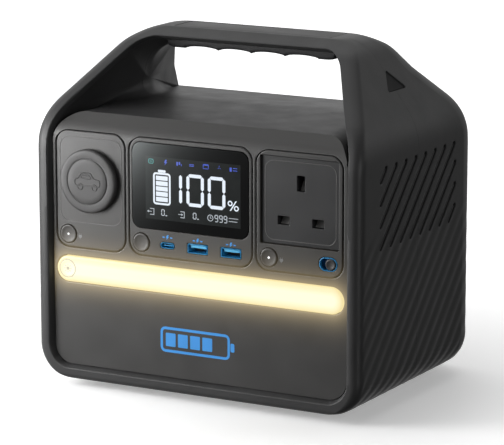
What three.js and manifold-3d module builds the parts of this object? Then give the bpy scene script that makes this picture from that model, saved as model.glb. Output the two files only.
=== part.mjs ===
// Portable power station: a case with an arched carrying handle, a car socket, a display,
// two kinds of USB port, one mains socket and a light bar across the front.
// Millimetres, Z up, front towards -Y, origin on the ground below the middle of the case.

import * as THREE from 'three';
import { mergeVertices } from 'three/addons/utils/BufferGeometryUtils.js';
import Module from 'manifold-3d';

const wasm = await Module();
wasm.setup();

// ---------------------------------------------------------------- driving dimensions

const WIDTH = 216;
const DEPTH = 160;
const HEIGHT = 211;
const CASE_BOTTOM = 5.3; // underside of the case, above the feet
const GAP = 0.3; // clearance between pieces that touch

// Outline of the case from the front
const SHOULDER_Z = 161.5; // where the upright sides turn inward
const SIDE_RUN = 0.72; // inward run of a sloping side for each millimetre of height
const BOTTOM_RADIUS = 20;
const SHOULDER_RADIUS = 40;
const TOP_RADIUS = 28;

// Outline of the case from the side
const SLOPE_START_Z = 160.5;
const SLOPE_END = { y: 29.5, z: 204 };
const HANDLE_TOP_HALF = 12.5; // half depth of the flat on top of the handle
const FRONT_EDGE_RADIUS = 6;
const REAR_EDGE_RADIUS = 25;

// Rim round the front and rear faces
const RIM_STEP = 3.3; // width of the bevel inside the rim
const RIM_DROP = 4; // depth of that bevel, from the rim to the face panel
const FRONT_RIM = { side: 10, bottom: 8.2, slope: 9.5, top: 6.2 };
const REAR_RIM = { side: 10, bottom: 8.2, slope: 4.9, top: 6.2 };

// Opening under the handle
const DECK_FRONT_Z = 165.2;
const DECK_MIDDLE_Z = 166.3;
const DECK_REAR_Z = 160.5;
const DECK_CORNER = { front: 8, rear: 6 }; // hollow corner between deck and wing
const OPENING = { half: 77, top: 199, lowRadius: 10, highRadius: 24 }; // in the middle of the case
const DECK_SEAM_Y = 66; // front and rear edge of the deck
const CASE_SEAM_Y = -6.2; // where the front and rear halves of the case meet

const WALL = 3.5;
const CAVITY_TOP = 159;
const FACE_Y = DEPTH / 2 - RIM_DROP; // distance of the face panels from the middle
const FRONT = -FACE_Y; // plane of the front panel
const PANEL = 3; // thickness of the face panels
const FRONT_PANEL_TOP = { z: 165.2, bend: 156 };
const REAR_PANEL_TOP = { z: 160.6, bend: 151 };

// Front modules, left edge to right edge
const MODULE_Z = { low: 85, high: 155 };
const MODULES = {
  car: { left: -95.4, right: -48.1 },
  display: { left: -45.3, right: 36.5 },
  ac: { left: 39.1, right: 94.9 },
};
const MODULE_RADIUS = 8;
const CAR_SOCKET = { x: -71.9, z: 125.9, bore: 10.6, outer: 13.8, depth: 44 };
const CAR_CAP_RADIUS = 19;
const CAR_CAP_PROUD = 4;
const GLASS = { left: -43, right: 34.2, low: 101.4, high: 152.1, radius: 6 };
const AC_FACE = { left: 41.7, right: 92.2, low: 100.7, high: 152, recess: 1.5 };
const AC_PIN = { x: 67.3, lowZ: 114.8, spread: 11.1, earthZ: 137 };
const USB_Z = 92.4;
const USB_C_X = -19.8;
const USB_A_X = [0.4, 22.5];
const BUTTON_RADIUS = 5.4;
const BUTTON_Z = 92.7;
const BUTTONS = { car_button: -87.4, display_button: -37.3, ac_button: 47.5 };
const SAVER = { x: 85.5, z: 92.6, length: 11.6, height: 8, knob: 3.3, travel: 3.6 };
const LIGHT = { half: 95.4, low: 64, high: 79.5, buttonX: -88.1 };

// Side vents: diagonal slots clipped to a rectangle
const VENT = {
  pitch: 12.8,
  first: -70.5,
  z: 122.6,
  halfZ: 23.9,
  y: -5.9,
  halfY: 50,
  lean: 45.4, // degrees from level
  width: 4.2,
  shortest: 7, // least height of a slot
};

const FOOT = { x: 73, y: 54, length: 17, width: 13 };
const CELL = { radius: 15.6, length: 128, pitch: 33, columns: 4, rows: 2, lowZ: 30 };
const FAN = { x: 92, y: -5.5, z: 122.5, size: 62, depth: 15, hub: 12, blade: 26.5 };
const INLET = { x: 0, z: 118, radius: 4.2 };
const FLAP = { width: 34, low: 106, high: 130, thick: 2.4, recess: 2.8 };

const ARC = 6; // straight pieces in each corner arc

// ---------------------------------------------------------------- geometry helpers

// Polygon whose corners [x, y, radius] are replaced by tangent arcs.
function roundedOutline(corners, steps = ARC) {
  const at = (i) => new THREE.Vector2(...corners[(i + corners.length) % corners.length]);
  return corners.flatMap(([x, y, radius], i) => {
    const corner = new THREE.Vector2(x, y);
    const back = at(i - 1).sub(corner).normalize();
    const ahead = at(i + 1).sub(corner).normalize();
    const half = Math.acos(back.dot(ahead)) / 2;
    const start = corner.clone().addScaledVector(back, radius / Math.tan(half));
    const bisector = back.clone().add(ahead).normalize();
    const centre = corner.clone().addScaledVector(bisector, radius / Math.sin(half));
    const turn = Math.sign(ahead.cross(back)) * (Math.PI - 2 * half);
    const along = (k) => start.clone().rotateAround(centre, (turn * k) / steps);
    return Array.from({ length: steps + 1 }, (_, k) => along(k));
  });
}

function rectangle(left, right, low, high, radius, steps = ARC) {
  return roundedOutline([
    [left, low, radius],
    [right, low, radius],
    [right, high, radius],
    [left, high, radius],
  ], steps);
}

function circle(x, y, radius, steps = 32) {
  return Array.from({ length: steps }, (_, k) => {
    const angle = (2 * Math.PI * k) / steps;
    return new THREE.Vector2(x + radius * Math.cos(angle), y + radius * Math.sin(angle));
  });
}

// Furthest distance from the middle line at a height of a symmetrical outline.
function reachAt(outline, height) {
  return outline.reduce((reach, a, i) => {
    const b = outline[(i + 1) % outline.length];
    const low = Math.min(a.y, b.y) - 1e-6;
    const high = Math.max(a.y, b.y) + 1e-6;
    if (height < low || height > high) return reach;
    const t = high - low < 1e-4 ? 0 : (height - a.y) / (b.y - a.y);
    const crossing = Math.abs(a.x + t * (b.x - a.x));
    return Math.max(reach, high - low < 1e-4 ? Math.abs(b.x) : crossing);
  }, 0);
}

function toSolid(geometry) {
  const bare = new THREE.BufferGeometry();
  bare.setAttribute('position', geometry.getAttribute('position'));
  if (geometry.index) bare.setIndex(geometry.index);
  const merged = mergeVertices(bare, 1e-4);
  const vertProperties = Float32Array.from(merged.getAttribute('position').array);
  const triVerts = Uint32Array.from(merged.index.array);
  return new wasm.Manifold(new wasm.Mesh({ numProp: 3, vertProperties, triVerts }));
}

// Largest body of a solid, without the slivers that flush cuts leave behind.
function mainBody(solid) {
  const bodies = solid.decompose();
  return bodies.reduce((best, body) => (body.volume() > best.volume() ? body : best));
}

function toGeometry(solid) {
  const mesh = mainBody(solid.simplify(0.01)).getMesh();
  const geometry = new THREE.BufferGeometry();
  geometry.setAttribute('position', new THREE.BufferAttribute(Float32Array.from(mesh.vertProperties), 3));
  geometry.setIndex(new THREE.BufferAttribute(Uint32Array.from(mesh.triVerts), 1));
  const flat = geometry.toNonIndexed();
  flat.computeVertexNormals();
  return flat;
}

// Solid between parallel copies of a flat outline, standing along one axis.
function prism(outline, from, to, axes) {
  const shape = new THREE.Shape(outline);
  const geometry = new THREE.ExtrudeGeometry(shape, { depth: to - from, bevelEnabled: false });
  geometry.translate(0, 0, from);
  geometry.applyMatrix4(new THREE.Matrix4().makeBasis(...axes));
  return toSolid(geometry);
}

const X = new THREE.Vector3(1, 0, 0);
const Y = new THREE.Vector3(0, 1, 0);
const Z = new THREE.Vector3(0, 0, 1);

// Outline in (X, Z), from the front position to the rear one.
function alongY(outline, front, rear) {
  return prism(outline, -rear, -front, [X, Z, Y.clone().negate()]);
}

// Outline in (Y, Z).
function alongX(outline, left, right) {
  return prism(outline, left, right, [Y, Z, X]);
}

// Outline in (X, Y).
function alongZ(outline, low, high) {
  return prism(outline, low, high, [X, Y, Z]);
}

function box(left, right, front, rear, low, high) {
  return alongZ(rectangle(left, right, front, rear, 0.01, 1), low, high);
}

// Solid through a row of rings with the same number of points; closed ends are flat fans.
function loft(rings, looped = false) {
  const count = rings[0].length;
  const positions = rings.flat().flatMap((p) => [p.x, p.y, p.z]);
  const index = [];
  const bands = looped ? rings.length : rings.length - 1;
  for (let r = 0; r < bands; r++) {
    const next = (r + 1) % rings.length;
    for (let i = 0; i < count; i++) {
      const j = (i + 1) % count;
      const [a, b, c, d] = [r * count + i, r * count + j, next * count + j, next * count + i];
      index.push(a, b, c, a, c, d);
    }
  }
  if (!looped) {
    const last = (rings.length - 1) * count;
    for (let i = 1; i < count - 1; i++) {
      index.push(0, i + 1, i, last, last + i, last + i + 1);
    }
  }
  const geometry = new THREE.BufferGeometry();
  geometry.setAttribute('position', new THREE.Float32BufferAttribute(positions, 3));
  geometry.setIndex(index);
  return outward(geometry);
}

// Solid from a closed mesh, turned the right way out.
function outward(geometry) {
  const solid = toSolid(geometry);
  if (solid.volume() > 0) return solid;
  const index = geometry.index.array;
  for (let i = 0; i < index.length; i += 3) {
    [index[i + 1], index[i + 2]] = [index[i + 2], index[i + 1]];
  }
  return toSolid(geometry);
}

function subtractAll(solid, cutters) {
  return cutters.reduce((rest, cutter) => rest.subtract(cutter), solid);
}

function subdivide(outline, parts) {
  return outline.flatMap((point, i) => {
    const next = outline[(i + 1) % outline.length];
    return Array.from({ length: parts }, (_, k) => point.clone().lerp(next, k / parts));
  });
}

// ---------------------------------------------------------------- outlines of the case

function slopeHalfWidth(z) {
  return WIDTH / 2 - (z - SHOULDER_Z) * SIDE_RUN;
}

// Front outline of the case, moved inward by a distance for each side.
function frontOutline({ side, bottom, slope, top }) {
  const slopeInset = slope * Math.hypot(1, SIDE_RUN);
  const half = WIDTH / 2 - side;
  const shoulder = SHOULDER_Z + (side - slopeInset) / SIDE_RUN;
  const topZ = HEIGHT - top;
  const topHalf = slopeHalfWidth(topZ) - slopeInset;
  const low = CASE_BOTTOM + bottom;
  return roundedOutline([
    [-half, low, BOTTOM_RADIUS - bottom],
    [half, low, BOTTOM_RADIUS - bottom],
    [half, shoulder, SHOULDER_RADIUS - slope],
    [topHalf, topZ, TOP_RADIUS - slope],
    [-topHalf, topZ, TOP_RADIUS - slope],
    [-half, shoulder, SHOULDER_RADIUS - slope],
  ]);
}

const CASE_FRONT = frontOutline({ side: 0, bottom: 0, slope: 0, top: 0 });
const FRONT_RIM_INSIDE = frontOutline(FRONT_RIM);
const REAR_RIM_INSIDE = frontOutline(REAR_RIM);
const CASE_SIDE = roundedOutline([
  [-DEPTH / 2, CASE_BOTTOM, 3],
  [DEPTH / 2, CASE_BOTTOM, 3],
  [DEPTH / 2, SLOPE_START_Z, SHOULDER_RADIUS],
  [SLOPE_END.y, SLOPE_END.z, 20],
  [HANDLE_TOP_HALF, HEIGHT, 1.5],
  [-HANDLE_TOP_HALF, HEIGHT, 1.5],
  [-SLOPE_END.y, SLOPE_END.z, 20],
  [-DEPTH / 2, SLOPE_START_Z, SHOULDER_RADIUS],
]);

function caseDepthAt(z) {
  return reachAt(CASE_SIDE, THREE.MathUtils.clamp(z, CASE_BOTTOM + 3, HEIGHT));
}

// Level slice through the outside of the case.
function caseRing(z) {
  const half = reachAt(CASE_FRONT, z);
  const depth = reachAt(CASE_SIDE, z);
  const rear = Math.min(REAR_EDGE_RADIUS, depth * 0.55);
  const corners = [
    [-half, -depth, FRONT_EDGE_RADIUS],
    [half, -depth, FRONT_EDGE_RADIUS],
    [half, depth, rear],
    [-half, depth, rear],
  ];
  return roundedOutline(corners).map((p) => new THREE.Vector3(p.x, p.y, z));
}

function caseBlank() {
  const heights = [...CASE_FRONT, ...CASE_SIDE].map((p) => p.y).sort((a, b) => a - b);
  const levels = heights.filter((z, i) => i === 0 || z - heights[i - 1] > 0.05);
  levels[levels.length - 1] = HEIGHT;
  return loft(levels.map(caseRing));
}

// ---------------------------------------------------------------- cutters for the case

// Points of the rim bevel at the front (facing -1) or the rear (facing 1).
function rimBevelPoint(point, normal, facing) {
  const outer = point.clone().addScaledVector(normal, RIM_STEP);
  const face = facing * caseDepthAt(outer.y);
  return {
    outer: new THREE.Vector3(outer.x, face, outer.y),
    inner: new THREE.Vector3(point.x, face - facing * RIM_DROP, point.y),
  };
}

function outlineNormals(outline) {
  return outline.map((_, i) => {
    const before = outline.at(i - 1);
    const after = outline[(i + 1) % outline.length];
    return new THREE.Vector2(after.y - before.y, before.x - after.x).normalize();
  });
}

// Three-sided ring that cuts the bevel between the rim and what lies inside it.
function rimBevelCutter(rimInside, facing) {
  const outline = subdivide(rimInside, 3);
  const normals = outlineNormals(outline);
  const sections = outline.map((point, i) => {
    const { outer, inner } = rimBevelPoint(point, normals[i], facing);
    const beyond = outer.clone().lerp(inner, -0.4);
    const clear = Math.max(Math.abs(beyond.y), caseDepthAt(inner.z) + 2);
    const inside = new THREE.Vector3(inner.x - normals[i].x, facing * clear, inner.z - normals[i].y);
    return [inner, beyond, inside];
  });
  return loft(sections, true);
}

// Opening under the handle where it meets the front or the rear rim.
function rimOpening(rim, deckZ, cornerRadius) {
  const slopeInset = rim.slope * Math.hypot(1, SIDE_RUN);
  const topZ = HEIGHT - rim.top;
  const low = slopeHalfWidth(deckZ) - slopeInset;
  const high = slopeHalfWidth(topZ) - slopeInset;
  return subdivide(roundedOutline([
    [-low, deckZ, cornerRadius],
    [low, deckZ, cornerRadius],
    [high, topZ, TOP_RADIUS - rim.slope],
    [-high, topZ, TOP_RADIUS - rim.slope],
  ]), 3);
}

// Space under the handle: narrowest in the middle of the case, flaring to both rims.
function handleOpening() {
  const { half, top, lowRadius, highRadius } = OPENING;
  const middle = subdivide(roundedOutline([
    [-half, DECK_MIDDLE_Z, lowRadius],
    [half, DECK_MIDDLE_Z, lowRadius],
    [half, top, highRadius],
    [-half, top, highRadius],
  ]), 3);
  const rimRing = (outline, facing) => {
    const normals = outlineNormals(outline);
    return outline.map((point, i) => rimBevelPoint(point, normals[i], facing).inner);
  };
  const flatRing = (outline, y) => outline.map((p) => new THREE.Vector3(p.x, y, p.y));
  const front = rimOpening(FRONT_RIM, DECK_FRONT_Z, DECK_CORNER.front);
  const rear = rimOpening(REAR_RIM, DECK_REAR_Z, DECK_CORNER.rear);
  return loft([
    flatRing(front, -DEPTH),
    rimRing(front, -1),
    flatRing(middle, 0),
    rimRing(rear, 1),
    flatRing(rear, DEPTH),
  ]);
}

// Part of the rim opening that a face panel fills, below the deck.
function faceOutline(inset, top) {
  const side = WIDTH / 2 - FRONT_RIM.side - inset;
  const low = CASE_BOTTOM + FRONT_RIM.bottom + inset;
  const topHalf = reachAt(FRONT_RIM_INSIDE, top.z) - inset;
  return roundedOutline([
    [-side, low, BOTTOM_RADIUS - FRONT_RIM.bottom],
    [side, low, BOTTOM_RADIUS - FRONT_RIM.bottom],
    [side, top.z - 18, 20],
    [topHalf, top.z, 0.5],
    [-topHalf, top.z, 0.5],
    [-side, top.z - 18, 20],
  ]);
}

// Rounded slot along a diagonal, as long as the rectangle allows and never too short.
function ventOutline(middleY) {
  const lean = THREE.MathUtils.degToRad(VENT.lean);
  const low = Math.max(-VENT.halfZ, (VENT.y - VENT.halfY - middleY) * Math.tan(lean));
  const high = Math.min(VENT.halfZ, (VENT.y + VENT.halfY - middleY) * Math.tan(lean));
  const missing = Math.max(0, VENT.shortest - (high - low)) * Math.sign(middleY - VENT.y);
  const half = (high - low + Math.abs(missing)) / Math.sin(lean) / 2;
  const rise = (low + high + missing) / 2;
  const middle = new THREE.Vector2(middleY + (rise - missing / 2) / Math.tan(lean), VENT.z + rise);
  const slot = rectangle(-half, half, -VENT.width / 2, VENT.width / 2, VENT.width / 2 - 0.01, 3);
  return slot.map((p) => p.rotateAround(new THREE.Vector2(), lean).add(middle));
}

function ventCutters() {
  const slots = Array.from({ length: 11 }, (_, k) => ventOutline(VENT.first + k * VENT.pitch));
  return slots.flatMap((slot) => [alongX(slot, 98, 112), alongX(slot, -112, -98)]);
}

// Triangular dent in each sloping side, one millimetre deep.
function triangleDents() {
  const angle = Math.atan(SIDE_RUN);
  const normal = new THREE.Vector3(Math.cos(angle), 0, Math.sin(angle));
  const up = new THREE.Vector3(-Math.sin(angle), 0, Math.cos(angle));
  const baseZ = 182.8;
  const corners = [[-15.5, 0, 0.8], [7.5, 0, 0.8], [-4, 13, 0.8]];
  const dent = prism(roundedOutline(corners, 2), -1, 3, [Y, up, normal]);
  const right = dent.translate([slopeHalfWidth(baseZ), 0, baseZ]);
  return [right, right.mirror([1, 0, 0])];
}

function cavityOutline(wall) {
  const half = WIDTH / 2 - wall;
  const low = CASE_BOTTOM + WALL;
  const radius = Math.max(BOTTOM_RADIUS - wall, 6);
  return roundedOutline([
    [-half, low, radius],
    [half, low, radius],
    [half, CAVITY_TOP, 6],
    [-half, CAVITY_TOP, 6],
  ]);
}

// Space for the electronics and the cells: narrower at the rear, where the corners are well rounded.
function cavity() {
  const neck = REAR_RIM.side + 0.1;
  const back = DECK_SEAM_Y + RIM_DROP;
  return [
    alongY(cavityOutline(WALL), -back, DEPTH / 2 - REAR_EDGE_RADIUS + 3),
    alongY(cavityOutline(neck), 0, back),
    alongY(faceOutline(0, FRONT_PANEL_TOP), -DEPTH, -DECK_SEAM_Y),
    alongY(faceOutline(0, REAR_PANEL_TOP), DECK_SEAM_Y, DEPTH),
  ];
}

// ---------------------------------------------------------------- case pieces

const COVER = { half: 52.5, depth: 10.5, thick: 2 };
const GRIP = { half: 56, depth: 13, low: 198, high: 204.5, pitch: 22.5, scallop: 1.3 };

function caseShell() {
  const coverSeat = box(-COVER.half - GAP, COVER.half + GAP, -COVER.depth - GAP, COVER.depth + GAP,
    HEIGHT - COVER.thick - GAP, HEIGHT + 1);
  const gripSeat = box(-GRIP.half - GAP, GRIP.half + GAP, -GRIP.depth - GAP, GRIP.depth + GAP,
    GRIP.low - 5, GRIP.high + GAP);
  return subtractAll(caseBlank(), [
    handleOpening(),
    ...cavity(),
    rimBevelCutter(FRONT_RIM_INSIDE, -1),
    rimBevelCutter(REAR_RIM_INSIDE, 1),
    ...ventCutters(),
    ...triangleDents(),
    coverSeat,
    gripSeat,
  ]);
}

function handleCover() {
  const outline = rectangle(-COVER.half, COVER.half, -COVER.depth, COVER.depth, 2);
  return alongZ(outline, HEIGHT - COVER.thick, HEIGHT);
}

// Soft pad under the handle with finger hollows along its lower edge.
function handleGrip() {
  const { half, depth, low, high, pitch, scallop } = GRIP;
  const lower = Array.from({ length: 33 }, (_, k) => {
    const x = 2 * pitch * (k / 16 - 1);
    const hollow = Math.abs(Math.sin((Math.PI * x) / pitch));
    return new THREE.Vector2(x, low + scallop * Math.sqrt(hollow));
  });
  const outline = [
    new THREE.Vector2(-half, high),
    new THREE.Vector2(-half, low + 3),
    new THREE.Vector2(-half + 5, low + 1.6),
    ...lower,
    new THREE.Vector2(half - 5, low + 1.6),
    new THREE.Vector2(half, low + 3),
    new THREE.Vector2(half, high),
  ];
  return alongY(outline, -depth, depth);
}

// Side outline of a face panel: upright, then bending back to meet the deck.
function panelProfile(offset, top, facing) {
  const face = FACE_Y - offset;
  const points = roundedOutline([
    [face, 0, 0.01],
    [face, top.bend - offset * 0.4, 14],
    [DECK_SEAM_Y + GAP, top.z - offset * 1.3, 0.01],
    [DECK_SEAM_Y + GAP, 0, 0.01],
  ]);
  return orient(points.map((p) => new THREE.Vector2(p.x * facing, p.y)));
}

function facePanel(top, facing) {
  const [front, rear] = facing < 0 ? [-DEPTH, 0] : [0, DEPTH];
  const blank = alongY(faceOutline(GAP, top), front, rear);
  const outer = alongX(panelProfile(0, top, facing), -WIDTH / 2, WIDTH / 2);
  const inner = alongX(panelProfile(PANEL, top, facing), -WIDTH / 2, WIDTH / 2);
  return blank.intersect(outer).subtract(inner);
}

// Outline turned anticlockwise.
function orient(outline) {
  return THREE.ShapeUtils.area(outline) < 0 ? outline.reverse() : outline;
}

function moduleHole({ left, right }, inset) {
  return rectangle(left - inset, right + inset, MODULE_Z.low - inset, MODULE_Z.high + inset, MODULE_RADIUS);
}

function frontPanel() {
  const holes = Object.values(MODULES).map((sides) => alongY(moduleHole(sides, GAP), FRONT - 1, FRONT + 6));
  const slot = rectangle(-LIGHT.half - GAP, LIGHT.half + GAP, LIGHT.low - GAP, LIGHT.high + GAP,
    (LIGHT.high - LIGHT.low) / 2);
  return subtractAll(facePanel(FRONT_PANEL_TOP, -1), [...holes, alongY(slot, FRONT - 1, FRONT + 6)]);
}

const REAR_SCREWS = [[-88, 24], [88, 24], [-88, 146], [88, 146]];

function rearPanel() {
  const seat = rectangle(INLET.x - FLAP.width / 2 - GAP, INLET.x + FLAP.width / 2 + GAP,
    FLAP.low - 0.5, FLAP.high + GAP, 0.2, 1);
  const screws = REAR_SCREWS.flatMap(([x, z]) => [
    alongY(circle(x, z, 3.5, 20), FACE_Y - 1.5, FACE_Y + 1),
    alongY(circle(x, z, 1.9, 16), FACE_Y - PANEL - 1, FACE_Y + 1),
  ]);
  const frame = alongY(rectangle(-21, 21, 101, 135, 3), FACE_Y - PANEL - 2, FACE_Y - PANEL + 0.5);
  const bore = alongY(circle(INLET.x, INLET.z, 6.2, 24), FACE_Y - 9, FACE_Y + 1);
  return subtractAll(facePanel(REAR_PANEL_TOP, 1).add(frame), [
    alongY(seat, FACE_Y - FLAP.recess, FACE_Y + 1),
    bore,
    ...screws,
  ]);
}

function screw([x, z]) {
  const head = alongY(circle(x, z, 3.1, 20), FACE_Y - 1.2, FACE_Y - 0.1);
  const shank = alongY(circle(x, z, 1.5, 16), FACE_Y - 12, FACE_Y - 1);
  const socket = alongY(circle(x, z, 1.3, 6), FACE_Y - 0.9, FACE_Y + 1);
  return head.add(shank).subtract(socket);
}

function foot(x, y) {
  const [halfX, halfY] = [FOOT.length / 2, FOOT.width / 2];
  return alongZ(rectangle(x - halfX, x + halfX, y - halfY, y + halfY, 5), 0, CASE_BOTTOM - GAP);
}

// ---------------------------------------------------------------- front modules

function modulePlate(module) {
  return alongY(moduleHole(module, -GAP / 2), FRONT, FRONT + PANEL);
}

function buttonHole(x, z = BUTTON_Z) {
  return alongY(circle(x, z, BUTTON_RADIUS + GAP), FRONT - 5, FRONT + 6);
}

function carPlate() {
  const bore = alongY(circle(CAR_SOCKET.x, CAR_SOCKET.z, CAR_SOCKET.outer + GAP), FRONT - 1, FRONT + 5);
  return subtractAll(modulePlate(MODULES.car), [bore, buttonHole(BUTTONS.car_button)]);
}

function carSocketBarrel() {
  const { x, z, bore, outer, depth } = CAR_SOCKET;
  const tube = alongY(circle(x, z, outer), FRONT, FRONT + depth);
  const hollow = alongY(circle(x, z, bore), FRONT - 1, FRONT + depth - 3);
  const pinHole = alongY(circle(x, z, 2.3, 16), FRONT + depth - 4, FRONT + depth + 1);
  return subtractAll(tube, [hollow, pinHole]);
}

function carSocketContact() {
  const { x, z, depth } = CAR_SOCKET;
  const button = alongY(circle(x, z, 4, 20), FRONT + depth - 5.5, FRONT + depth - 3.3);
  return button.add(alongY(circle(x, z, 2, 16), FRONT + depth - 4, FRONT + depth + 6));
}

// Soft cap with a domed face and a stem that plugs the socket.
function carSocketCap() {
  const { x, z, bore } = CAR_SOCKET;
  const profile = [[0, 14], [bore - 0.6, 14], [bore - 0.3, 13], [bore - 0.3, -0.3], [CAR_CAP_RADIUS, -0.3],
    [CAR_CAP_RADIUS, -2.6], [CAR_CAP_RADIUS - 0.5, -3.4], [CAR_CAP_RADIUS - 1.6, -CAR_CAP_PROUD],
    [0, -CAR_CAP_PROUD]];
  const lathe = new THREE.LatheGeometry(profile.map(([r, y]) => new THREE.Vector2(r, y)), 40);
  lathe.translate(x, FRONT, z);
  return outward(indexed(lathe));
}

function indexed(geometry) {
  const bare = new THREE.BufferGeometry();
  bare.setAttribute('position', geometry.getAttribute('position'));
  bare.setIndex(geometry.index);
  return mergeVertices(bare, 1e-4);
}

function displayPlate() {
  const { left, right, low, high, radius } = GLASS;
  const window = rectangle(left - GAP, right + GAP, low - GAP, high + GAP, radius);
  const usbC = rectangle(USB_C_X - 4.9, USB_C_X + 4.9, USB_Z - 2, USB_Z + 2, 1.9, 3);
  const usbA = USB_A_X.map((x) => rectangle(x - 6.95, x + 6.95, USB_Z - 3.1, USB_Z + 3.1, 0.4, 1));
  const cuts = [window, usbC, ...usbA].map((outline) => alongY(outline, FRONT - 1, FRONT + 5));
  return subtractAll(modulePlate(MODULES.display), [...cuts, buttonHole(BUTTONS.display_button)]);
}

function displayGlass() {
  const outline = rectangle(GLASS.left, GLASS.right, GLASS.low, GLASS.high, GLASS.radius - GAP);
  return alongY(outline, FRONT - 0.3, FRONT + 1.3);
}

function lcdPanel() {
  return box(GLASS.left + 3, GLASS.right - 3, FRONT + 1.6, FRONT + 4.6, GLASS.low + 3, GLASS.high - 3);
}

function usbCPort() {
  const outer = rectangle(USB_C_X - 4.6, USB_C_X + 4.6, USB_Z - 1.7, USB_Z + 1.7, 1.6, 3);
  const inner = rectangle(USB_C_X - 4.2, USB_C_X + 4.2, USB_Z - 1.3, USB_Z + 1.3, 1.25, 3);
  const tongue = rectangle(USB_C_X - 3.3, USB_C_X + 3.3, USB_Z - 0.35, USB_Z + 0.35, 0.1, 1);
  return alongY(outer, FRONT + 0.1, FRONT + 9)
    .subtract(alongY(inner, FRONT - 1, FRONT + 7))
    .add(alongY(tongue, FRONT + 1, FRONT + 8));
}

function usbAShell(x) {
  const outer = rectangle(x - 6.6, x + 6.6, USB_Z - 2.8, USB_Z + 2.8, 0.4, 1);
  const inner = rectangle(x - 6.2, x + 6.2, USB_Z - 2.4, USB_Z + 2.4, 0.2, 1);
  return alongY(outer, FRONT + 0.1, FRONT + 15).subtract(alongY(inner, FRONT - 1, FRONT + 13));
}

function usbATongue(x) {
  return box(x - 5.2, x + 5.2, FRONT + 1.2, FRONT + 12.7, USB_Z + 0.3, USB_Z + 2);
}

function acPlate() {
  const face = rectangle(AC_FACE.left, AC_FACE.right, AC_FACE.low, AC_FACE.high, 0.6, 2);
  return subtractAll(modulePlate(MODULES.ac), [
    alongY(face, FRONT - 1, FRONT + 5),
    buttonHole(BUTTONS.ac_button),
    alongY(saverOutline(GAP), FRONT - 1, FRONT + 5),
  ]);
}

// Sides of the three pin holes: live and neutral below, earth above.
function pinHoles(grow) {
  const { x, lowZ, spread, earthZ } = AC_PIN;
  const hole = (cx, cz, w, h) => [cx - w / 2 - grow, cx + w / 2 + grow, cz - h / 2 - grow, cz + h / 2 + grow];
  return [hole(x - spread, lowZ, 7.5, 5), hole(x + spread, lowZ, 7.5, 5), hole(x, earthZ, 5, 9)];
}

function sharpBox([left, right, low, high], front, rear) {
  const corners = [[left, low], [right, low], [right, high], [left, high]];
  return alongY(corners.map(([x, z]) => new THREE.Vector2(x, z)), front, rear);
}

function acFaceSides() {
  return [AC_FACE.left + GAP, AC_FACE.right - GAP, AC_FACE.low + GAP, AC_FACE.high - GAP];
}

function acFace() {
  const plate = sharpBox(acFaceSides(), FRONT + AC_FACE.recess, FRONT + AC_FACE.recess + 3);
  return subtractAll(plate, pinHoles(0).map((hole) => sharpBox(hole, FRONT - 1, FRONT + 8)));
}

function acHousing() {
  const front = FRONT + AC_FACE.recess + 3 + GAP;
  const block = sharpBox(acFaceSides(), front, front + 20);
  return subtractAll(block, pinHoles(0.5).map((hole) => sharpBox(hole, front - 1, front + 21)));
}

function acContact(index) {
  const front = FRONT + AC_FACE.recess + 3 + GAP;
  return sharpBox(pinHoles(-0.3)[index], front + 11, front + 19.5);
}

function button(x, z = BUTTON_Z) {
  const cap = alongY(circle(x, z, BUTTON_RADIUS), FRONT - 0.6, FRONT + 4);
  return cap.add(alongY(circle(x, z, 2, 12), FRONT + 3, FRONT + 6));
}

function saverOutline(grow) {
  const { x, z, length, height } = SAVER;
  return rectangle(x - length / 2 - grow, x + length / 2 + grow, z - height / 2 - grow, z + height / 2 + grow,
    height / 2 + grow - 0.01);
}

function saverSlot() {
  const { x, z, knob, travel } = SAVER;
  const cup = alongY(saverOutline(0), FRONT, FRONT + 6);
  const hollow = alongY(saverOutline(-0.5), FRONT - 1, FRONT + 4);
  const knobX = x + travel / 2 - 0.1;
  const track = rectangle(knobX - travel - knob / 2, knobX + knob / 2, z - 1.2, z + 1.2, 1, 2);
  return subtractAll(cup, [hollow, alongY(track, FRONT + 3, FRONT + 7)]);
}

function saverKnob() {
  const { x, z, knob, travel } = SAVER;
  const knobX = x + travel / 2 - 0.1;
  const cap = alongY(circle(knobX, z, knob, 24), FRONT - 0.4, FRONT + 3.6);
  return cap.add(alongY(rectangle(knobX - 1, knobX + 1, z - 0.9, z + 0.9, 0.3, 1), FRONT + 3, FRONT + 8));
}

function lightDiffuser() {
  const round = (LIGHT.high - LIGHT.low) / 2 - 0.01;
  const outline = rectangle(-LIGHT.half, LIGHT.half, LIGHT.low, LIGHT.high, round, 8);
  const lens = alongY(outline, FRONT - 0.8, FRONT + 2.6);
  const hollow = rectangle(-LIGHT.half + 2, LIGHT.half - 2, LIGHT.low + 2, LIGHT.high - 2, 5.7, 4);
  return subtractAll(lens, [
    alongY(hollow, FRONT + 1, FRONT + 4),
    alongY(circle(LIGHT.buttonX, lightZ(), BUTTON_RADIUS + GAP), FRONT - 5, FRONT + 6),
  ]);
}

function lightZ() {
  return (LIGHT.low + LIGHT.high) / 2;
}

function ledStrip() {
  return box(-78, 92, FRONT + 4, FRONT + 5.6, LIGHT.low + 2.5, LIGHT.high - 2.5);
}

// ---------------------------------------------------------------- inside the case

function cell(column, row) {
  const x = (column - (CELL.columns - 1) / 2) * CELL.pitch;
  const z = CELL.lowZ + row * CELL.pitch;
  return alongY(circle(x, z, CELL.radius, 20), -CELL.length / 2, CELL.length / 2);
}

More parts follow.
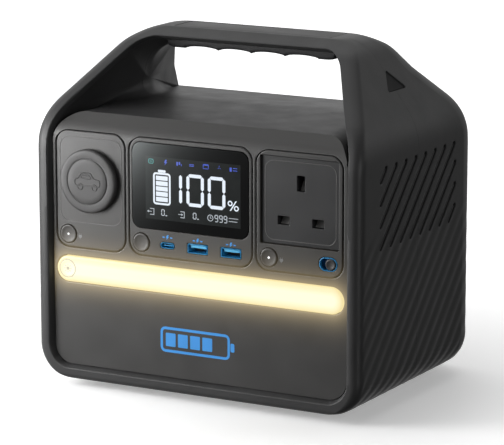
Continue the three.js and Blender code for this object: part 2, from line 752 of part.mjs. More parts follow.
// Plate with a pocket for the end of every cell.
function cellHolder(facing) {
  const halfX = (CELL.columns * CELL.pitch) / 2 + 1;
  const low = CELL.lowZ - CELL.pitch / 2 - 1;
  const high = CELL.lowZ + CELL.pitch * (CELL.rows - 0.5) + 1;
  const end = CELL.length / 2;
  const [front, rear] = facing < 0 ? [-end - 2, -end + 10] : [end - 10, end + 2];
  const [pocketFront, pocketRear] = facing < 0 ? [-end - GAP, end] : [-end, end + GAP];
  const plate = alongY(rectangle(-halfX, halfX, low, high, 3, 2), front, rear);
  const pockets = [];
  for (let column = 0; column < CELL.columns; column++) {
    for (let row = 0; row < CELL.rows; row++) {
      const x = (column - (CELL.columns - 1) / 2) * CELL.pitch;
      const z = CELL.lowZ + row * CELL.pitch;
      pockets.push(alongY(circle(x, z, CELL.radius + GAP, 20), pocketFront, pocketRear));
    }
  }
  return subtractAll(plate, pockets);
}

function fanFrame() {
  const { x, y, z, size, depth, blade } = FAN;
  const half = size / 2;
  const body = rectangle(y - half, y + half, z - half + 8, z + half - 8, 4, 2);
  const ring = alongX(body, x - depth / 2, x + depth / 2);
  const tunnel = alongX(circle(y, z, blade - 5.2, 32), x - depth / 2 - 1, x + depth / 2 + 1);
  const spoke = box(x - depth / 2, x - depth / 2 + 2, y - half + 2, y + half - 2, z - 2, z + 2);
  const seat = alongX(circle(y, z, 6, 20), x - depth / 2, x - depth / 2 + 2);
  const axle = alongX(circle(y, z, 1.5, 12), x - depth / 2 + 1, x + depth / 2 - 3);
  return ring.subtract(tunnel).add(spoke).add(seat).add(axle);
}

function fanRotor() {
  const { x, y, z, hub, blade, depth } = FAN;
  const front = x + depth / 2 - 1;
  const body = alongX(circle(y, z, hub - 3, 24), x - depth / 2 + 3, front);
  const bore = alongX(circle(y, z, 1.9, 12), x - depth, front - 1.5);
  const angles = Array.from({ length: 7 }, (_, k) => (360 * k) / 7);
  const reach = blade - 6.2;
  const vane = box(x - 4, x + 4, -0.8, 0.8, hub - 4, reach);
  const vanes = angles.map((angle) => vane.rotate([angle, 0, 0]).translate([0, y, z]));
  return vanes.reduce((rotor, blades) => rotor.add(blades), body).subtract(bore);
}

function inletSocket() {
  const back = FACE_Y - FLAP.recess;
  const body = alongY(circle(INLET.x, INLET.z, 5.8, 24), back - 16, back - 0.2);
  const hollow = alongY(circle(INLET.x, INLET.z, INLET.radius, 24), back - 12, back + 1);
  const pin = alongY(circle(INLET.x, INLET.z, 0.8, 10), back - 13, back - 2);
  return body.subtract(hollow).add(pin);
}

// Cover over the inlet, hinged along its lower edge.
function inletFlap() {
  const radius = FLAP.thick / 2;
  const middle = FACE_Y - radius;
  const outline = orient(roundedOutline([
    [middle - radius, FLAP.low, radius - 0.01],
    [middle + radius, FLAP.low, radius - 0.01],
    [middle + radius, FLAP.high, 0.4],
    [middle - radius, FLAP.high, 0.4],
  ], 4));
  return alongX(outline, INLET.x - FLAP.width / 2, INLET.x + FLAP.width / 2);
}

function heatsink() {
  const base = box(-10, 55, -30, 30, 97, 101);
  const fins = Array.from({ length: 7 }, (_, k) => box(-10, 55, -29 + k * 9, -27 + k * 9, 100, 122));
  return fins.reduce((sink, fin) => sink.add(fin), base);
}

function transformer() {
  const core = box(-62, -24, -22, 18, 97, 131);
  const window = box(-54, -32, -30, 26, 104, 124);
  return core.subtract(window).add(box(-48, -38, -18, 14, 100, 128));
}

// ---------------------------------------------------------------- assembly

const SHELL_GREY = { color: 0x3a3a3c, roughness: 0.55, metalness: 0 };
const PANEL_GREY = { color: 0x48484a, roughness: 0.5, metalness: 0 };
const DARK = { color: 0x1c1c1e, roughness: 0.7, metalness: 0 };
const RUBBER = { color: 0x151516, roughness: 0.85, metalness: 0 };
const GLASS_BLACK = { color: 0x0b0c0e, roughness: 0.08, metalness: 0 };
const LIGHT_WARM = { color: 0xfff3c4, roughness: 0.4, metalness: 0 };
const METAL = { color: 0xb8bcc0, roughness: 0.3, metalness: 1 };
const BRASS = { color: 0xc9a04e, roughness: 0.35, metalness: 1 };
const BLUE = { color: 0x2f7fd0, roughness: 0.5, metalness: 0 };
const BOARD = { color: 0x1e5a38, roughness: 0.6, metalness: 0 };
const CELL_BLUE = { color: 0x2b5fa8, roughness: 0.45, metalness: 0.2 };

const station = new THREE.Group();
station.name = 'power_station';

function addPart(name, solid, look) {
  const mesh = new THREE.Mesh(toGeometry(solid), new THREE.MeshStandardMaterial(look));
  mesh.name = name;
  station.add(mesh);
}

function addCase() {
  const shell = caseShell();
  const half = GAP / 2;
  const frontHalf = box(-WIDTH, WIDTH, -DEPTH, CASE_SEAM_Y - half, -1, HEIGHT + 1);
  const rearHalf = box(-WIDTH, WIDTH, CASE_SEAM_Y + half, DEPTH, -1, HEIGHT + 1);
  addPart('front_case', shell.intersect(frontHalf), SHELL_GREY);
  addPart('rear_case', shell.intersect(rearHalf), SHELL_GREY);
  addPart('handle_cover', handleCover(), SHELL_GREY);
  addPart('handle_grip', handleGrip(), RUBBER);
  addPart('front_panel', frontPanel(), PANEL_GREY);
  addPart('rear_panel', rearPanel(), PANEL_GREY);
  REAR_SCREWS.forEach((place, i) => addPart(`rear_screw_${i + 1}`, screw(place), METAL));
  const places = [[-1, -1], [1, -1], [1, 1], [-1, 1]];
  places.forEach(([sx, sy], i) => addPart(`foot_${i + 1}`, foot(sx * FOOT.x, sy * FOOT.y), RUBBER));
}

function addFrontModules() {
  addPart('car_plate', carPlate(), PANEL_GREY);
  addPart('car_socket_barrel', carSocketBarrel(), METAL);
  addPart('car_socket_contact', carSocketContact(), BRASS);
  addPart('car_socket_cap', carSocketCap(), PANEL_GREY);
  addPart('display_plate', displayPlate(), PANEL_GREY);
  addPart('display_glass', displayGlass(), GLASS_BLACK);
  addPart('lcd_panel', lcdPanel(), DARK);
  addPart('usb_c_port', usbCPort(), METAL);
  USB_A_X.forEach((x, i) => {
    addPart(`usb_a_port_${i + 1}`, usbAShell(x), METAL);
    addPart(`usb_a_tongue_${i + 1}`, usbATongue(x), BLUE);
  });
  addPart('ac_plate', acPlate(), PANEL_GREY);
  addPart('ac_socket_face', acFace(), DARK);
  addPart('ac_socket_housing', acHousing(), DARK);
  ['live', 'neutral', 'earth'].forEach((pin, i) => addPart(`ac_contact_${pin}`, acContact(i), BRASS));
  Object.entries(BUTTONS).forEach(([name, x]) => addPart(name, button(x), DARK));
  addPart('saver_slot', saverSlot(), BLUE);
  addPart('saver_knob', saverKnob(), DARK);
  addPart('light_diffuser', lightDiffuser(), LIGHT_WARM);
  addPart('light_button', button(LIGHT.buttonX, lightZ()), LIGHT_WARM);
  addPart('led_strip', ledStrip(), BOARD);
}

function addInside() {
  for (let row = 0; row < CELL.rows; row++) {
    for (let column = 0; column < CELL.columns; column++) {
      addPart(`cell_${row * CELL.columns + column + 1}`, cell(column, row), CELL_BLUE);
    }
  }
  addPart('cell_holder_front', cellHolder(-1), DARK);
  addPart('cell_holder_rear', cellHolder(1), DARK);
  addPart('battery_board', box(-60, 60, -50, 50, 82, 83.6), BOARD);
  addPart('inverter_board', box(-70, 80, -52, 58, 94.5, 96.5), BOARD);
  addPart('control_board', box(-94, 92, FRONT + 7.6, FRONT + 9.2, 82, 87), BOARD);
  addPart('heatsink', heatsink(), METAL);
  addPart('transformer', transformer(), BRASS);
  addPart('fan_frame', fanFrame(), DARK);
  addPart('fan_rotor', fanRotor(), DARK);
  addPart('dc_inlet', inletSocket(), METAL);
  addPart('dc_inlet_flap', inletFlap(), RUBBER);
}

addCase();
addFrontModules();
addInside();

export default station;
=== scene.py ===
"""Portable power station: finished surfaces, display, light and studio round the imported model."""
import math

import bmesh
import bpy
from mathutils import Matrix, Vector


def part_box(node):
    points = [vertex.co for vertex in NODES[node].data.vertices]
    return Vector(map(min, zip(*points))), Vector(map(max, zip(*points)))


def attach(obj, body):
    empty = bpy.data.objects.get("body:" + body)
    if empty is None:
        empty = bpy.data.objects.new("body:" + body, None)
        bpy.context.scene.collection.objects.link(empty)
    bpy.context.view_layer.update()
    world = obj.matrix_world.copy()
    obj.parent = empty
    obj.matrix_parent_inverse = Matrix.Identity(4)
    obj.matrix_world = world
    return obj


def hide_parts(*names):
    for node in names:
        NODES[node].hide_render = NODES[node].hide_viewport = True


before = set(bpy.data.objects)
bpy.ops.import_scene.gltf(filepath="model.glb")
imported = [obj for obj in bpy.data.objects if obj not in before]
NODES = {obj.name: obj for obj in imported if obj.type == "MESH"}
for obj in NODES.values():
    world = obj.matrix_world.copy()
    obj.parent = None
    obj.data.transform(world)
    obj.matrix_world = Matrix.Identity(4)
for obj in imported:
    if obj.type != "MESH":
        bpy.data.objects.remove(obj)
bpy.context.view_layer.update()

MM = 0.001


def box_mm(node):
    """Lowest and highest corner of a CAD node, in millimetres."""
    low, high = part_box(node)
    return low / MM, high / MM


def centre_of(node):
    """Middle of a CAD node as seen from the front: x and z in millimetres."""
    low, high = box_mm(node)
    return (low.x + high.x) / 2, (low.z + high.z) / 2


# ------------------------------------------------------------ driving sizes, millimetres

CASE_LOW, CASE_HIGH = box_mm("rear_case")
WIDTH = CASE_HIGH.x - CASE_LOW.x
DEPTH = 2 * CASE_HIGH.y
HEIGHT = CASE_HIGH.z
CASE_BOTTOM = CASE_LOW.z
GAP = 0.3
SEAM_GAP = 0.1  # joints between finished skins are drawn tighter than the clearance they stand for
CASE_SEAM_Y = CASE_LOW.y - GAP / 2

SHOULDER_Z = 161.5
SIDE_RUN = 0.72
BOTTOM_RADIUS, SHOULDER_RADIUS, TOP_RADIUS = 20, 40, 28
SLOPE_START_Z = 160.5
SLOPE_END_Y, SLOPE_END_Z = 29.5, 204
HANDLE_TOP_HALF = 12.5
FRONT_EDGE_RADIUS, REAR_EDGE_RADIUS = 6, 25

RIM_STEP, RIM_DROP = 1.6, 4
FRONT_RIM = {"side": 10, "bottom": 8.2, "slope": 9.5, "top": 6.2}
REAR_RIM = {"side": 10, "bottom": 8.2, "slope": 4.9, "top": 6.2}
RIM_ROUND = 0.5  # how far the rounding between rim and bevel reaches

DECK_FRONT_Z, DECK_MIDDLE_Z, DECK_REAR_Z = 165.2, 166.3, 160.6
OPENING_HALF, OPENING_TOP = 77, 199
OPENING_LOW_RADIUS, OPENING_HIGH_RADIUS = 9, 22
DECK_SEAM_Y = 66
WALL, CAVITY_TOP = 3.5, 159
FACE_Y = DEPTH / 2 - RIM_DROP
FRONT = -FACE_Y
PANEL = 3

# Slanting slots and ribs on the sides
SLOT_PITCH, SLOT_FIRST, SLOT_Z, SLOT_HALF_Z = 12.8, -70.5, 122.6, 23.9
SLOT_Y, SLOT_HALF_Y, SLOT_WIDTH, SLOT_SHORTEST = -5.9, 50, 4.2, 7
LEAN = math.radians(45.4)
RIB_DEPTH = 0.45

MODULES = {
    "car": box_mm("car_plate"),
    "display": box_mm("display_plate"),
    "ac": box_mm("ac_plate"),
}
MODULE_RADIUS = 8
ARC = 14  # straight pieces in each corner arc
SIDES = {"right": 1, "left": -1}


# ------------------------------------------------------------ flat outlines

def rounded_outline(corners, steps=ARC):
    """Polygon whose corners (x, y, radius) are replaced by tangent arcs."""
    points = []
    count = len(corners)
    for i, (x, y, radius) in enumerate(corners):
        corner = Vector((x, y))
        back = (Vector(corners[i - 1][:2]) - corner).normalized()
        ahead = (Vector(corners[(i + 1) % count][:2]) - corner).normalized()
        half = math.acos(max(-1, min(1, back.dot(ahead)))) / 2
        start = corner + back * (radius / math.tan(half))
        centre = corner + (back + ahead).normalized() * (radius / math.sin(half))
        cross = ahead.x * back.y - ahead.y * back.x
        turn = math.copysign(math.pi - 2 * half, cross)
        for k in range(steps + 1):
            angle = turn * k / steps
            arm = start - centre
            points.append(centre + Vector((
                arm.x * math.cos(angle) - arm.y * math.sin(angle),
                arm.x * math.sin(angle) + arm.y * math.cos(angle),
            )))
    return points


def rectangle(left, right, low, high, radius, steps=ARC):
    radius = max(radius, 0.01)
    return rounded_outline([
        (left, low, radius), (right, low, radius), (right, high, radius), (left, high, radius),
    ], steps)


def box_outline(low, high, radius, grow=0, steps=ARC):
    """Front outline of a box, as a function of how far it is moved in."""
    return lambda inset: rectangle(low.x - grow + inset, high.x + grow - inset,
                                   low.z - grow + inset, high.z + grow - inset, radius - inset, steps)


def circle(x, y, radius, steps=64):
    turns = [2 * math.pi * k / steps for k in range(steps)]
    return [Vector((x + radius * math.cos(t), y + radius * math.sin(t))) for t in turns]


def normals_of(outline):
    """Outward normal at each point of an anticlockwise outline."""
    count = len(outline)
    found = []
    for i in range(count):
        along = outline[(i + 1) % count] - outline[i - 1]
        found.append(Vector((along.y, -along.x)).normalized())
    return found


def grown(outline, distance):
    return [p + n * distance for p, n in zip(outline, normals_of(outline))]


def subdivided(outline, parts):
    count = len(outline)
    points = []
    for i in range(count):
        for k in range(parts):
            points.append(outline[i].lerp(outline[(i + 1) % count], k / parts))
    return points


def reach_at(outline, height):
    """Furthest distance from the middle line, at a height, of a symmetrical outline."""
    reach = 0
    for i, a in enumerate(outline):
        b = outline[(i + 1) % len(outline)]
        low, high = min(a.y, b.y), max(a.y, b.y)
        if low - 1e-6 <= height <= high + 1e-6:
            t = 0 if high - low < 1e-4 else (height - a.y) / (b.y - a.y)
            crossing = abs(a.x + t * (b.x - a.x))
            reach = max(reach, abs(b.x) if high - low < 1e-4 else crossing)
    return reach


# ------------------------------------------------------------ solids

def new_mesh(name, points, faces):
    mesh = bpy.data.meshes.new(name)
    mesh.from_pydata([tuple(c * MM for c in p) for p in points], [], faces)
    shaped = bmesh.new()
    shaped.from_mesh(mesh)
    bmesh.ops.remove_doubles(shaped, verts=shaped.verts, dist=1e-7)
    bmesh.ops.recalc_face_normals(shaped, faces=shaped.faces)
    shaped.to_mesh(mesh)
    shaped.free()
    return mesh


def new_object(name, mesh):
    made = bpy.data.objects.new(name, mesh)
    bpy.context.scene.collection.objects.link(made)
    return made


def loft(name, rings, looped=False):
    """Closed solid through a row of rings with equal numbers of points."""
    count = len(rings[0])
    points = [p for ring in rings for p in ring]
    faces = []
    for r in range(len(rings) if looped else len(rings) - 1):
        here, there = r * count, (r + 1) % len(rings) * count
        for i in range(count):
            j = (i + 1) % count
            faces.append((here + i, here + j, there + j, there + i))
    if not looped:
        last = (len(rings) - 1) * count
        faces.append(tuple(range(count - 1, -1, -1)))
        faces.append(tuple(range(last, last + count)))
    return new_object(name, new_mesh(name, points, faces))


def ring_y(outline, y):
    return [(p.x, y, p.y) for p in outline]


def ring_x(outline, x):
    return [(x, p.x, p.y) for p in outline]


def ring_z(outline, z):
    return [(p.x, p.y, z) for p in outline]


def along_y(name, outline, front, rear):
    return loft(name, [ring_y(outline, front), ring_y(outline, rear)])


def along_x(name, outline, left, right):
    return loft(name, [ring_x(outline, left), ring_x(outline, right)])


def block(name, low, high):
    corners = ((low[0], low[1]), (high[0], low[1]), (high[0], high[1]), (low[0], high[1]))
    outline = [Vector(p) for p in corners]
    return loft(name, [ring_z(outline, low[2]), ring_z(outline, high[2])])


LIP = ((0, 1), (0.09, 0.62), (0.3, 0.28), (0.62, 0.08), (1, 0))  # quarter round: depth, inset


def lipped_plate(name, outline_at, front, rear, lip):
    """Plate facing -Y with rounded front edges. outline_at(d) gives its outline moved in by d."""
    rings = [ring_y(outline_at(lip * inset), front + lip * depth) for depth, inset in LIP]
    return loft(name, [*rings, ring_y(outline_at(0), rear)])


def lipped_hole(name, outline_at, front, rear, lip):
    """Cutter for a hole in a plate facing -Y, with a rounded lip."""
    rings = [ring_y(outline_at(-lip * inset), front + lip * depth) for depth, inset in LIP]
    mouth = ring_y(outline_at(-lip * 1.02), front - 0.4)
    return loft(name, [mouth, *rings, ring_y(outline_at(0), rear)])


def lathe_y(name, profile, x, z, steps=72):
    """Solid turned round a line along Y. The profile is (radius, y) from the axis and back to it."""
    points, faces = [], []
    for radius, y in profile:
        for t in (2 * math.pi * k / steps for k in range(steps)):
            points.append((x + radius * math.cos(t), y, z + radius * math.sin(t)))
    for r in range(len(profile) - 1):
        for i in range(steps):
            j = (i + 1) % steps
            faces.append((r * steps + i, r * steps + j, (r + 1) * steps + j, (r + 1) * steps + i))
    return new_object(name, closed_lathe(name, points, faces))


def closed_lathe(name, points, faces):
    mesh = new_mesh(name, points, faces)
    shaped = bmesh.new()
    shaped.from_mesh(mesh)
    flat = [f for f in shaped.faces if f.calc_area() < 1e-14]
    bmesh.ops.delete(shaped, geom=flat, context="FACES_ONLY")
    bmesh.ops.dissolve_degenerate(shaped, dist=1e-7, edges=shaped.edges)
    bmesh.ops.holes_fill(shaped, edges=[e for e in shaped.edges if e.is_boundary])
    bmesh.ops.recalc_face_normals(shaped, faces=shaped.faces)
    shaped.to_mesh(mesh)
    shaped.free()
    return mesh


def bake_modifiers(made):
    graph = bpy.context.evaluated_depsgraph_get()
    mesh = bpy.data.meshes.new_from_object(made.evaluated_get(graph))
    made.modifiers.clear()
    made.data = mesh


def combine(made, others, operation):
    for other in others:
        step = made.modifiers.new("solid", "BOOLEAN")
        step.object, step.operation, step.solver = other, operation, "MANIFOLD"
    bake_modifiers(made)
    for other in others:
        bpy.data.objects.remove(other)
    return made


def cut(made, *cutters):
    return combine(made, cutters, "DIFFERENCE")


def keep_inside(made, *others):
    return combine(made, others, "INTERSECT")


def merged(name, parts):
    """One object from several separate ones."""
    shaped = bmesh.new()
    for part in parts:
        shaped.from_mesh(part.data)
        bpy.data.objects.remove(part)
    mesh = bpy.data.meshes.new(name)
    shaped.to_mesh(mesh)
    shaped.free()
    return new_object(name, mesh)


def smooth(made, angle=30):
    made.data.shade_smooth()
    made.data.set_sharp_from_angle(angle=math.radians(angle))
    return made


def weighted(made):
    """Shading that keeps large flat faces flat beside small rounded ones."""
    step = made.modifiers.new("flat faces first", "WEIGHTED_NORMAL")
    step.keep_sharp = True
    return made


def finish_piece(made, name, material, body="case", nodes=()):
    made.name = made.data.name = name
    made.data.materials.clear()
    made.data.materials.append(material)
    if nodes:
        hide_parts(*nodes)
    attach(made, body)
    return made


# ------------------------------------------------------------ materials

class Nodes:
    """Node tree of one material, with short calls for the nodes used here."""

    def __init__(self, name):
        self.material = bpy.data.materials.new(name)
        self.material.use_nodes = True
        self.tree = self.material.node_tree
        self.shader = self.tree.nodes["Principled BSDF"]
        self.place = self.add("ShaderNodeTexCoord").outputs["Object"]

    def add(self, kind, **settings):
        node = self.tree.nodes.new(kind)
        for key, value in settings.items():
            setattr(node, key, value)
        return node

    def link(self, source, target):
        self.tree.links.new(source, target)

    def put(self, socket, value):
        if isinstance(value, bpy.types.NodeSocket):
            self.link(value, socket)
        else:
            socket.default_value = value

    def axes(self):
        """Sockets with the place along X, Y and Z."""
        split = self.add("ShaderNodeSeparateXYZ")
        self.link(self.place, split.inputs["Vector"])
        return split.outputs

    def noise(self, size_mm, detail=3, roughness=0.55, stretch=(1, 1, 1)):
        """Noise from 0 to 1 with features of about that size."""
        mapping = self.add("ShaderNodeMapping")
        mapping.inputs["Scale"].default_value = stretch
        self.link(self.place, mapping.inputs["Vector"])
        node = self.add("ShaderNodeTexNoise")
        node.inputs["Scale"].default_value = 1 / (size_mm * MM)
        node.inputs["Detail"].default_value = detail
        node.inputs["Roughness"].default_value = roughness
        self.link(mapping.outputs["Vector"], node.inputs["Vector"])
        return node.outputs["Fac"]

    def math(self, operation, a, b=0.0):
        node = self.add("ShaderNodeMath", operation=operation)
        self.put(node.inputs[0], a)
        self.put(node.inputs[1], b)
        return node.outputs["Value"]

    def within(self, value, low, high):
        """1 where a place lies between two limits in millimetres, 0 elsewhere."""
        found = self.math("COMPARE", value, (low + high) / 2 * MM)
        found.node.inputs[2].default_value = (high - low) / 2 * MM
        return found

    def spread(self, value, low, high, start=0.3, end=0.7):
        node = self.add("ShaderNodeMapRange")
        self.link(value, node.inputs["Value"])
        node.inputs["From Min"].default_value = start
        node.inputs["From Max"].default_value = end
        node.inputs["To Min"].default_value = low
        node.inputs["To Max"].default_value = high
        return node.outputs["Result"]

    def mix(self, factor, first, second, blend="MIX"):
        node = self.add("ShaderNodeMix", data_type="RGBA", blend_type=blend)
        self.put(node.inputs[0], factor)
        self.put(node.inputs[6], first)
        self.put(node.inputs[7], second)
        return node.outputs[2]

    def bump(self, height, depth_mm, before=None):
        node = self.add("ShaderNodeBump")
        node.inputs["Strength"].default_value = 1
        node.inputs["Distance"].default_value = depth_mm * MM
        self.link(height, node.inputs["Height"])
        if before is not None:
            self.link(before, node.inputs["Normal"])
        return node.outputs["Normal"]

    def set(self, **values):
        for name, value in values.items():
            self.put(self.shader.inputs[name.replace("_", " ")], value)


def tint(colour, factor):
    return (*[min(1, c * factor) for c in colour], 1)


def moulded_nodes(name, colour, roughness, grain_mm=0.5, depth_mm=0.02, variety=0.08, specular=0.5):
    """Moulded plastic: fine spark-eroded grain, faint mottling and uneven gloss."""
    n = Nodes(name)
    mottle = n.noise(28, 4)
    speck = n.noise(grain_mm * 0.7, 2)
    base = n.mix(n.spread(mottle, 0, 1), tint(colour, 1 - variety), tint(colour, 1 + variety))
    grained = n.mix(n.spread(speck, 0, 0.5), base, tint(colour, 0.8))
    smear = n.spread(n.noise(14, 3), roughness - 0.04, roughness + 0.05)
    n.set(Base_Color=grained, Roughness=smear)
    fine = n.bump(n.noise(grain_mm, 3, 0.6), depth_mm)
    n.set(Normal=n.bump(n.noise(9, 2), depth_mm * 0.8, fine), Specular_IOR_Level=specular)
    return n


def moulded(*look, **details):
    return moulded_nodes(*look, **details).material


def distance_from_bar(n, axes):
    """Distance from the middle line of the light bar, and half the bar's height, in metres."""
    low, high = box_mm("light_diffuser")
    radius = (high.z - low.z) / 2 * MM
    beyond = n.math("SUBTRACT", n.math("ABSOLUTE", axes["X"]), high.x * MM - radius)
    dx = n.math("MAXIMUM", beyond, 0.0)
    dz = n.math("SUBTRACT", axes["Z"], (low.z + high.z) / 2 * MM)
    squares = n.math("ADD", n.math("POWER", dx, 2.0), n.math("MULTIPLY", dz, dz))
    return n.math("SQRT", squares), radius


def glow_near_bar(n, reach_mm, strength):
    """Warm light on a surface near the light bar, fading with distance from it."""
    axes = n.axes()
    distance, radius = distance_from_bar(n, axes)
    away = n.math("MAXIMUM", n.math("SUBTRACT", distance, radius), 0.0)
    fade = n.math("EXPONENT", n.math("DIVIDE", away, -reach_mm * MM))
    front = n.spread(axes["Y"], 1, 0, -0.074, -0.062)
    n.set(Emission_Strength=n.math("MULTIPLY", n.math("MULTIPLY", fade, strength), front))
    n.shader.inputs["Emission Color"].default_value = (1, 0.78, 0.42, 1)


def metal(name, colour, roughness, brush_mm=0.12):
    n = Nodes(name)
    streak = n.noise(brush_mm, 2, 0.6, stretch=(0.12, 1, 1))
    stain = n.noise(3, 3)
    n.set(
        Base_Color=n.mix(n.spread(stain, 0, 1), tint(colour, 0.86), tint(colour, 1)),
        Roughness=n.spread(streak, roughness - 0.06, roughness + 0.1),
        Normal=n.bump(streak, 0.006),
        Metallic=1.0,
    )
    return n.material


def glowing(name, colour, strength, base=(0.02, 0.02, 0.02)):
    """Lit segment or lamp, very slightly uneven."""
    n = Nodes(name)
    uneven = n.noise(1.2, 2)
    n.set(
        Base_Color=(*base, 1),
        Roughness=0.35,
        Emission_Color=n.mix(n.spread(uneven, 0, 1), tint(colour, 0.94), tint(colour, 1)),
        Emission_Strength=strength,
    )
    return n.material


def lamp_lens():
    """Frosted lens lit from behind: brightest along the middle, warmer towards its edge."""
    n = Nodes("lit frosted lens")
    distance, radius = distance_from_bar(n, n.axes())
    edge = n.math("DIVIDE", distance, radius)
    frost = n.math("MULTIPLY", n.math("SUBTRACT", n.noise(1.4, 3), 0.5), 0.05)
    blend = n.spread(n.math("ADD", edge, frost), 0, 1, 0.35, 1.0)
    n.set(
        Base_Color=(0.1, 0.095, 0.075, 1),
        Roughness=n.spread(n.noise(0.5, 2), 0.35, 0.5),
        Emission_Color=n.mix(blend, (1, 0.97, 0.70, 1), (1, 0.84, 0.42, 1)),
        Emission_Strength=n.spread(blend, 0.97, 0.9, 0, 1),
        Normal=n.bump(n.noise(0.4, 2), 0.01),
    )
    return n.material


def display_glass():
    """Black glass over a slightly lighter liquid crystal area, with a reflection painted into its base
    colour, brightest at the upper left.
    """
    n = Nodes("display glass")
    low, high = box_mm("display_glass")
    axes = n.axes()
    inside = n.math("MULTIPLY", n.within(axes["X"], LCD["left"], LCD["right"]),
                    n.within(axes["Z"], LCD["low"], LCD["high"]))
    haze = n.spread(n.noise(6, 3), 0.85, 1.1)
    # painted reflection: the base colour grows lighter towards the upper-left corner of the glass
    corner = n.math("ADD", n.math("SUBTRACT", axes["X"], low.x * MM),
                    n.math("SUBTRACT", high.z * MM, axes["Z"]))
    painted_reflection = n.spread(n.math("EXPONENT", n.math("DIVIDE", corner, -0.019)), 0, 1, 0, 1)
    lit = n.mix(1.0, (0.017, 0.019, 0.019, 1), haze, "MULTIPLY")
    dark = n.mix(inside, (0.0022, 0.0022, 0.0024, 1), lit)
    n.set(
        Base_Color=n.mix(painted_reflection, dark, (0.2, 0.215, 0.215, 1)),
        Roughness=n.spread(n.noise(12, 3), 0.07, 0.13),
        Normal=n.bump(n.noise(20, 2), 0.01),
        Specular_IOR_Level=0.16,
    )
    return n.material


def rubber(name, colour, roughness=0.8):
    n = Nodes(name)
    grain = n.noise(0.35, 3, 0.65)
    n.set(
        Base_Color=n.mix(n.spread(n.noise(11, 3), 0, 1), tint(colour, 0.85), tint(colour, 1.15)),
        Roughness=n.spread(grain, roughness - 0.08, roughness + 0.08),
        Normal=n.bump(grain, 0.03),
        Specular_IOR_Level=0.35,
    )
    return n.material


LCD = {"left": -34.0, "right": 29.1, "low": 107.5, "high": 144.5}

CASE_GREY = (0.037, 0.037, 0.0375)
PANEL_GREY = (0.042, 0.041, 0.040)


def panel_material(name, colour, roughness):
    n = moulded_nodes(name, colour, roughness, grain_mm=0.45, depth_mm=0.012)
    glow_near_bar(n, 5.0, 0.36)
    return n.material


MATERIALS = {
    "case": moulded("case plastic", CASE_GREY, 0.46, grain_mm=0.55, depth_mm=0.02, specular=0.4),
    "panel": panel_material("panel plastic", PANEL_GREY, 0.42),
    "cap": moulded("cap rubberised plastic", (0.042, 0.041, 0.041), 0.5, grain_mm=0.4),
    "dark": moulded("dark moulded plastic", (0.026, 0.026, 0.027), 0.46, grain_mm=0.35),
    "inner": moulded("matt inner plastic", (0.012, 0.012, 0.013), 0.7),
    "grip": rubber("grip rubber", (0.018, 0.018, 0.019), 0.7),
    "foot": rubber("foot rubber", (0.012, 0.012, 0.012)),
    "glass": display_glass(),
    "segment": glowing("lit segment", (0.82, 0.9, 1.0), 0.95),
    "dim": glowing("dim lit segment", (0.75, 0.82, 0.9), 0.62),
    "teal": glowing("teal symbol", (0.05, 0.42, 0.40), 0.75),
    "indigo": glowing("indigo symbol", (0.03, 0.10, 0.75), 0.75),
    "led": glowing("white indicator", (1.0, 1.0, 1.0), 1.6),
    "lens": lamp_lens(),
    "blue": moulded("blue plastic", (0.02, 0.24, 0.52), 0.4, grain_mm=0.3),
    "print": moulded("blue print", (0.045, 0.31, 0.78), 0.5, grain_mm=0.3, depth_mm=0.005),
    "pale print": moulded("pale print", (0.2, 0.2, 0.2), 0.5, grain_mm=0.3, depth_mm=0.005),
    "shutter": moulded("shutter plastic", (0.75, 0.74, 0.72), 0.4, grain_mm=0.3),
    "steel": metal("plated steel", (0.62, 0.63, 0.65), 0.26),
    "brass": metal("brass", (0.72, 0.52, 0.22), 0.3),
    "copper": metal("varnished copper", (0.6, 0.25, 0.1), 0.35),
    "aluminium": metal("aluminium", (0.6, 0.61, 0.63), 0.4),
    "board": moulded("circuit board", (0.006, 0.035, 0.016), 0.4, grain_mm=0.8),
    "wrap": moulded("cell wrap", (0.03, 0.11, 0.32), 0.35, grain_mm=1.2),
    "lens sign": glowing("lamp sign", (0.70, 0.64, 0.46), 0.9),
    "port blue": moulded("port shell", (0.02, 0.25, 0.52), 0.3, grain_mm=0.3),
    "tongue blue": moulded("port tongue", (0.10, 0.48, 0.78), 0.35, grain_mm=0.3),
    # near black: painted shade lining and backing the side slots, and the dark triangle on the floor of
    # each sloping side's dent
    "recess": moulded("recess plastic", (0.006, 0.006, 0.0062), 0.6, specular=0.25),
    # real low ridge, tinted lighter than the panel as a painted highlight along it
    "line": moulded("raised line", (0.09, 0.088, 0.086), 0.4, grain_mm=0.4),
    "socket": moulded("socket face plastic", (0.016, 0.016, 0.017), 0.42, grain_mm=0.35,
                      depth_mm=0.012),
}


# ------------------------------------------------------------ case

def slope_half_width(z):
    return WIDTH / 2 - (z - SHOULDER_Z) * SIDE_RUN


def front_outline(side, bottom, slope, top):
    """Front outline of the case, moved inward by a distance for each side."""
    slope_inset = slope * math.hypot(1, SIDE_RUN)
    half = WIDTH / 2 - side
    shoulder = SHOULDER_Z + (side - slope_inset) / SIDE_RUN
    top_z = HEIGHT - top
    top_half = slope_half_width(top_z) - slope_inset
    low = CASE_BOTTOM + bottom
    return rounded_outline([
        (-half, low, BOTTOM_RADIUS - bottom),
        (half, low, BOTTOM_RADIUS - bottom),
        (half, shoulder, SHOULDER_RADIUS - slope),
        (top_half, top_z, TOP_RADIUS - slope),
        (-top_half, top_z, TOP_RADIUS - slope),
        (-half, shoulder, SHOULDER_RADIUS - slope),
    ])


